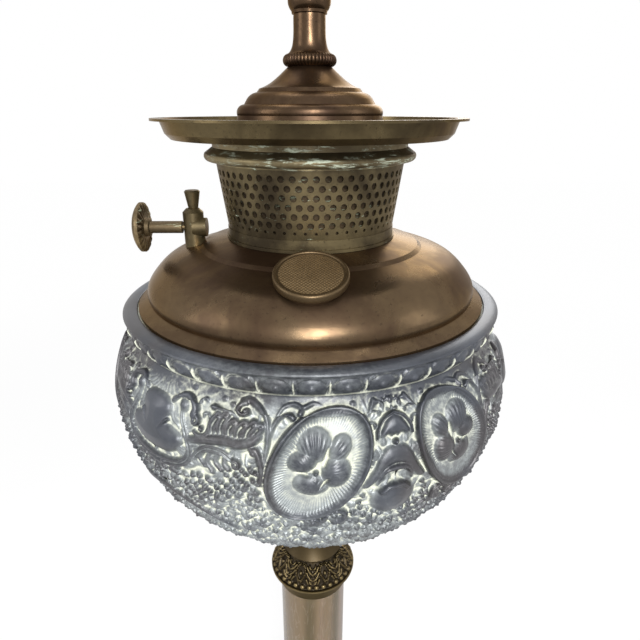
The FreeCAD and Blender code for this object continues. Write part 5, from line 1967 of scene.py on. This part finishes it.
@dataclass
class Font(LampPart):
    """The brass oil font with its filler. Sizes are in millimetres."""

    filler_place: Point3 = (0.0, -64.0, 473.72)
    filler_tilt: float = 20.0
    cap_radius: float = 15.5
    cap_height: float = 3.6
    cap_rim: float = 1.6
    cap_dish: float = 0.5
    cap_plate: float = 1.2
    neck_radius: float = 13.4
    gasket_bore: float = 11.0
    gasket_thickness: float = 0.8

    def cap(self) -> None:
        """The screw cap: a hatched face inside a raised, rounded rim."""
        radius, inside = self.cap_radius, self.neck_radius + 0.05
        face = radius - self.cap_rim
        low, dish = -self.cap_height, -self.cap_dish
        outline = [(inside, low), (radius - 0.5, low), (radius - 0.1, low + 0.3), (radius, low + 0.9),
                   (radius, -0.9)]
        outline += arc_through((radius, -0.9), (radius - 0.35, -0.2), (radius - self.cap_rim / 2, 0.0), 5)
        outline += arc_through((radius - self.cap_rim / 2, 0.0), (face + 0.15, -0.18), (face, dish), 4)
        outline += [(face - 0.5, dish - 0.02), (face * 0.5, dish + 0.12), (0.0, dish + 0.16),
                    (0.0, -self.cap_plate), (inside, -self.cap_plate)]
        made = lathe("cap_hatched", outline, self.finishes["cap"], 128, 50.0)
        self.settle(placed(made, self.filler_place, self.filler_tilt, "X"), "cap", "font_brass", "filler_cap")

    def gasket(self) -> None:
        """The leather ring under the cap, its edges pressed round."""
        low, high = -self.cap_plate - self.gasket_thickness, -self.cap_plate
        outline = softened([(self.gasket_bore, low), (self.neck_radius, low), (self.neck_radius, high),
                            (self.gasket_bore, high)], 0.3)
        made = lathe("gasket_ring", outline, self.finishes["leather"], 96, 80.0)
        self.settle(placed(made, self.filler_place, self.filler_tilt, "X"), "gasket", "leather",
                    "filler_gasket")

    def build(self) -> None:
        """Make and dress the font."""
        self.dress(font="font_floor font_bottom font_top draft_tube wick_tube filler_neck",
                   burner="font_collar winder_post winder_bushing", leather="filler_gasket", cap="filler_cap")
        self.cap()
        self.gasket()


@dataclass
class Burner(LampPart):
    """The wick and its winder, and the pierced basket with its ring. Sizes are in millimetres."""

    knob_place: Point3 = (-82.1, -1.7, 478.842)
    knob_radius: float = 12.2
    knob_thickness: float = 5.2
    hub_radius: float = 4.4
    hub_length: float = 2.2
    flutes: int = 20
    wick_inner: float = 17.3
    wick_outer: float = 19.7
    wick_low: float = 399.1
    wick_high: float = 497.1

    def knob(self) -> None:
        """The hand wheel: fluted on its back, with a smooth rolled edge and a domed face."""
        radius, thick = self.knob_radius, self.knob_thickness
        bore = 3.05
        hub, low = self.hub_radius, -self.hub_length
        edge = [(radius * 0.80, 0.0), (radius, thick * 0.15)]
        outline = [(bore, low), (hub - 0.4, low), (hub, low + 0.4), (hub, -0.2), (hub + 0.2, 0.0)]
        outline += [(hub + 0.2 + (edge[0][0] - hub - 0.2) * step / 8, 0.0) for step in range(1, 9)]
        outline += arc_through(edge[0], ((edge[0][0] + radius) / 2 + 0.25, thick * 0.05), edge[1], 6)
        outline += arc_through(edge[1], (radius, thick * 0.30), (radius, thick * 0.45), 4)
        outline += arc_through((radius, thick * 0.45), (radius * 0.74, thick * 0.84), (radius * 0.30, thick),
                               16)
        outline += [(radius * 0.12, thick), (0.2, thick), (0.2, thick - 1.0), (bore, thick - 1.2),
                    (bore, 0.0)]
        section = np.array(outline)
        out, up = section[:, 0] / radius, section[:, 1] / thick
        behind = np.clip((out - 0.42) * 3.0, 0, 1) * np.clip((0.16 - up) * 9, 0, 1) * (up > -0.1)
        side = np.clip((out - 0.93) * 14, 0, 1) * np.clip((0.46 - up) * 5, 0, 1)
        weight = np.maximum(behind, 0.2 * side)
        turns = np.arange(self.flutes * 12) * TURN / 12.0
        groove = 0.5 - 0.5 * np.cos(turns)
        depth = (1 - groove[:, None] ** 0.6) * weight[None, :] * 0.75
        made = carved_turning("knob_fluted", section, depth, np.clip(depth * 1.6, 0, 1),
                              self.finishes["knob"], 48.0)
        self.settle(placed(made, self.knob_place, -90.0, "Y"), "winder", "burner_brass", "winder_knob")

    def wick(self) -> None:
        """The round woven wick, ribbed and charred at its ragged top."""
        ribs, rows = 56, 90
        heights = np.linspace(self.wick_low + 0.3, self.wick_high - 0.5, rows)
        outer = [(self.wick_outer, height) for height in heights]
        inner = [(self.wick_inner, height) for height in heights[::-6]]
        top = [(self.wick_outer - 0.3, self.wick_high - 0.1), (self.wick_outer - 1.2, self.wick_high),
               (self.wick_inner + 0.3, self.wick_high - 0.1)]
        section = np.array(outer + top + inner)
        turns = np.arange(ribs * 5) * TURN / 5.0
        weave = 0.5 + 0.5 * np.cos(turns)[:, None] * np.cos(section[:, 1] * TURN / 2.6)[None, :]
        depth = 0.22 * weave
        rng = np.random.default_rng(5)
        ragged = blurred(rng.random((ribs * 5, 1)), 2.0, 1.0) * 0.8
        depth[:, rows:rows + 3] += ragged[:, :1] * 0.6
        made = carved_turning("wick_woven", section, depth, depth, self.finishes["cotton"], 70.0)
        self.settle(made, "rack", "cotton", "wick")

    def build(self) -> None:
        """Make and dress the burner."""
        self.dress(knob="winder_shaft winder_knob", burner="winder_pinion rack_bar rack_head burner_basket",
                   font="wick_arm wick_carrier", cotton="wick", liner="basket_liner", ring="basket_ring")
        self.knob()
        self.wick()


@dataclass
class Converter(LampPart):
    """The pan, the stepped dome, the stem and the lampholder. Sizes are in millimetres."""

    milled_z: float = 551.3
    stem_z: float = 556.6
    milled_radius: float = 12.2
    milled_foot: float = 10.2
    bore: float = 5.1
    notches: int = 44
    thread_radius: float = 13.9
    thread_low: float = 611.1
    thread_high: float = 636.1
    thread_pitch: float = 3.6

    def milled_ring(self) -> None:
        """The ring of upright beads under the stem."""
        middle = (self.milled_z + self.stem_z) / 2
        low = (self.milled_foot, self.milled_z + 0.05)
        roll = [low] + arc_through(low, (self.milled_radius, middle), (self.milled_foot, self.stem_z - 0.05),
                                   18)
        section = np.array([*roll, (self.bore, self.stem_z), (self.bore, self.milled_z)])
        share = np.zeros(len(section))
        share[:len(roll)] = np.sin(np.linspace(0, math.pi, len(roll))) ** 0.6
        turns = np.arange(self.notches * 10) * TURN / 10.0
        depth = 0.55 * (1 - np.abs(np.cos(turns / 2))[:, None] ** 0.6) * share[None, :]
        made = carved_turning("milled_beads", section, depth, depth, self.finishes["dome"], 50.0)
        self.settle(made, "converter", "dome_copper", "milled_ring")

    def thread(self) -> None:
        """The rolled thread that takes the bulb, with its floor."""
        rows = 84
        heights = np.linspace(self.thread_low + 1.9, self.thread_high - 0.3, rows)
        outer, inner = self.thread_radius, self.thread_radius - 0.55
        section = np.array([(4.2, self.thread_low), (outer - 0.3, self.thread_low),
                            (outer, self.thread_low + 0.6)]
                           + [(outer, height) for height in heights] + [(outer - 0.25, self.thread_high)]
                           + [(inner, height) for height in heights[::-1]] + [(4.2, self.thread_low + 1.9)])
        turns = np.arange(96) * TURN / 96.0
        wave = 0.5 + 0.5 * np.sin(section[None, :, 1] * TURN / self.thread_pitch - turns[:, None])
        depth = 0.22 * wave
        depth[:, :3] = 0
        depth[:, -1] = 0
        depth[:, 3 + rows + 1:-1] *= -1
        made = carved_turning("bulb_thread", section, depth, np.abs(depth), self.finishes["fittings"], 60.0)
        self.settle(made, "converter", "fitting_brass", "thread_shell")

    def build(self) -> None:
        """Make and dress the converter."""
        self.dress(fittings="pan_nut converter_pipe holder_cap socket_shell thread_shell "
                            "centre_contact key_shaft",
                   dome="dome_cap milled_ring stem", pan="pan_tray", fibre="socket_sleeve",
                   porcelain="socket_core", moulding="key_thumb")
        self.milled_ring()
        self.thread()


@dataclass(frozen=True)
class PhotoCamera:
    """The camera that took the photo.

    Attributes:
        place: Where it stands, in metres.
        focal_px: Focal length in pixels of the square picture.
        down: How far it looks down, in degrees.
        roll: How far it is turned about its line of sight, in degrees.
        yaw: How far it looks to the right of the axis, in degrees.
        sensor: Width of its sensor, in millimetres.
        picture_px: Width of the picture, in pixels.
    """

    place: Point3 = (0.0, -0.263, 0.5335)
    focal_px: float = 522.8
    down: float = 21.94
    roll: float = -0.346
    yaw: float = 0.953
    sensor: float = 36.0
    picture_px: float = 640.0

    def build(self) -> None:
        """Set up the camera."""
        data = bpy.data.cameras.new("photo_camera")
        data.sensor_width = self.sensor
        data.lens = self.sensor * self.focal_px / self.picture_px
        data.clip_start = 0.01
        made = bpy.data.objects.new("photo_camera", data)
        bpy.context.scene.collection.objects.link(made)
        tilt, roll, yaw = math.radians(self.down), math.radians(self.roll), math.radians(self.yaw)
        ahead = Vector((0.0, math.cos(tilt), -math.sin(tilt)))
        over = Vector((0.0, math.sin(tilt), math.cos(tilt)))
        right = Vector((1.0, 0.0, 0.0))
        side = math.cos(roll) * right + math.sin(roll) * over
        over = math.cos(roll) * over - math.sin(roll) * right
        sight = math.cos(yaw) * ahead + math.sin(yaw) * side
        side = math.cos(yaw) * side - math.sin(yaw) * ahead
        made.matrix_world = Matrix.Translation(self.place) @ Matrix((side, over,
                                                                     -sight)).transposed().to_4x4()
        bpy.context.scene.camera = made


@dataclass(frozen=True)
class Softbox:
    """A soft lamp of the studio.

    Attributes:
        name: Its name.
        place: Where it stands, in metres.
        aim: What it points at.
        size: Width and height, in metres.
        power: Strength in watts.
        tint: Colour of its light.
    """

    name: str
    place: Point3
    aim: Point3
    size: Point2
    power: float
    tint: Colour = (1.0, 1.0, 1.0)

    def build(self) -> None:
        """Hang the lamp."""
        data = bpy.data.lights.new(self.name, "AREA")
        data.shape = "RECTANGLE"
        data.size, data.size_y = self.size
        data.energy = self.power
        data.color = self.tint
        made = bpy.data.objects.new(self.name, data)
        bpy.context.scene.collection.objects.link(made)
        made.location = self.place
        made.rotation_euler = (Vector(self.aim) - Vector(self.place)).to_track_quat("-Z", "Y").to_euler()


@dataclass
class Studio:
    """The pale floor, the white surroundings and the lamps."""

    boxes: tuple[Softbox, ...] = (
        Softbox("window_front", (0.16, -1.50, 1.25), (0.0, 0.0, 0.44), (0.45, 0.7), 41.0, (1.0, 0.99, 0.97)),
        Softbox("fill_left", (-1.25, -0.45, 0.95), (0.0, 0.0, 0.42), (0.5, 0.9), 5.5, (1.0, 0.98, 0.96)),
        Softbox("fill_right", (1.25, -0.35, 0.85), (0.0, 0.0, 0.42), (0.5, 0.9), 2.2, (0.97, 0.98, 1.0)),
        Softbox("lens_level", (0.01, -0.95, 0.585), (0.0, 0.0, 0.5), (0.05, 0.30), 3.6),
        Softbox("fill_back", (0.55, 1.45, 1.05), (0.0, 0.0, 0.38), (0.9, 0.9), 9.0),
        Softbox("top", (0.0, 0.35, 1.60), (0.0, 0.0, 0.4), (0.9, 0.7), 8.0),
    )
    sky: float = 0.17
    sky_tint: Colour = (0.93, 0.96, 1.0)
    floor_glow: float = 0.86

    def build(self) -> None:
        """Set the floor, the world and the lamps."""
        graph = Graph("studio_floor")
        shade_of = graph.ramp(graph.noise(3.0, 2.0), 0.3, 0.7)
        colour = graph.mix(shade_of, (0.86, 0.86, 0.86), (0.90, 0.90, 0.90))
        graph.finish(colour, 0.7, 0.0, None, {"Specular IOR Level": 0.2})
        glow = graph.node("ShaderNodeEmission")
        seen_by = graph.node("ShaderNodeLightPath").outputs
        over, along, _ = graph.split()
        share = graph.maths("MULTIPLY", graph.maths("MAXIMUM", seen_by["Is Camera Ray"],
                                                    seen_by["Is Glossy Ray"]),
                            graph.ramp(graph.reach(over, along), 0.3, 1.6, self.floor_glow, 0.995))
        blend = graph.node("ShaderNodeMixShader",
                           {0: share, 1: graph.shader.outputs["BSDF"], 2: glow.outputs[0]})
        graph.link(blend.outputs[0], graph.out.inputs["Surface"])
        corners = [(-4000, -4000, 0), (4000, -4000, 0), (4000, 4000, 0), (-4000, 4000, 0)]
        new_object("floor", np.array(corners), [(0, 1, 2, 3)], graph.material)
        world = bpy.data.worlds.new("surroundings")
        bpy.context.scene.world = world
        world.use_nodes = True
        nodes = Nodes(world.node_tree)
        path = nodes.node("ShaderNodeLightPath").outputs
        light = nodes.node("ShaderNodeBackground", {"Color": self.sky_tint, "Strength": self.sky})
        seen = nodes.node("ShaderNodeBackground", {"Color": (1.0, 1.0, 1.0), "Strength": 1.0})
        either = nodes.maths("MAXIMUM", path["Is Camera Ray"], path["Is Glossy Ray"])
        any_ray = nodes.maths("MAXIMUM", either, path["Is Transmission Ray"])
        mixed = nodes.node("ShaderNodeMixShader", {0: any_ray, 1: light.outputs[0], 2: seen.outputs[0]})
        nodes.node("ShaderNodeOutputWorld", {"Surface": mixed.outputs[0]})
        for box in self.boxes:
            box.build()


def all_finishes() -> dict[str, bpy.types.Material]:
    """Build every finish of the lamp once."""
    finishes = {
        "bowl": CastMetal("cast_white_metal"),
        "plain_cast": CastMetal("cast_plain", 0.55, False),
        "onyx": Onyx("onyx"),
        "cup": AgedBrass("cup_brass", (0.036, 0.025, 0.010), (0.165, 0.125, 0.055), rough=0.34, metal=0.7,
                         relief=True),
        "fittings": AgedBrass("fitting_brass", (0.17, 0.115, 0.045), (0.36, 0.255, 0.115), rough=0.34),
        "font": AgedBrass("font_brass", (0.040, 0.022, 0.012), (0.110, 0.073, 0.038), rough=0.24,
                          metal=0.85, sheen=0.16),
        "burner": AgedBrass("burner_brass", (0.022, 0.016, 0.008), (0.118, 0.092, 0.046), green=0.09,
                            rough=0.36,
                            metal=0.7),
        "ring": AgedBrass("ring_brass", (0.060, 0.046, 0.025), (0.22, 0.180, 0.098), (0.42, 0.47, 0.37), 0.19,
                          0.36,
                          0.7),
        "pan": AgedBrass("pan_brass", (0.030, 0.021, 0.009), (0.112, 0.084, 0.040), rough=0.24, metal=0.85),
        "dome": AgedBrass("dome_copper", (0.023, 0.012, 0.007), (0.088, 0.054, 0.029), rough=0.25, metal=0.9),
        "cap": HatchedBrass("cap_brass", (0.18, 0.122, 0.062), (0.46, 0.33, 0.180), rough=0.32, metal=0.8,
                            centre=(0.0, -0.06383, 0.47325), tilt=20.0, pitch=1.15),
        "knob": AgedBrass("knob_brass", (0.075, 0.055, 0.030), (0.24, 0.178, 0.090), (0.36, 0.40, 0.28), 0.14,
                          0.36,
                          0.75, False),
        "liner": AgedBrass("liner_brass", (0.016, 0.011, 0.006), (0.060, 0.042, 0.024), (0.20, 0.24, 0.17),
                           0.14, 0.6,
                           0.4),
        "steel": SmallFinish("old_steel", (0.16, 0.15, 0.14), (0.34, 0.33, 0.31), 0.40, 0.85, 500.0, 0.03),
        "leather": SmallFinish("oiled_leather", (0.055, 0.030, 0.016), (0.14, 0.080, 0.042), 0.62, 0.0, 900.0,
                               0.12),
        "cotton": CottonWick("woven_wick", 0.4965),
        "fibre": SmallFinish("pressed_fibre", (0.10, 0.060, 0.035), (0.20, 0.130, 0.075), 0.66, 0.0, 700.0,
                             0.06),
        "porcelain": SmallFinish("glazed_porcelain", (0.62, 0.60, 0.55), (0.74, 0.72, 0.67), 0.28, 0.0, 200.0,
                                 0.02,
                                 0.6),
        "moulding": SmallFinish("black_moulding", (0.014, 0.013, 0.013), (0.035, 0.032, 0.030), 0.30, 0.0,
                                400.0,
                                0.03, 0.2),
    }
    return {key: finish.material() for key, finish in finishes.items()}


def main() -> None:
    """Build every sub-assembly in order and report it."""
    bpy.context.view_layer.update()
    finishes = all_finishes()
    repeater = RingRepeater()
    for part in (Stand, Bowl, Font, Burner, Converter):
        part(repeater, finishes).build()
    PhotoCamera().build()
    Studio().build()
    bpy.context.scene.view_settings.view_transform = "Standard"


if __name__ == "__main__":
    main()
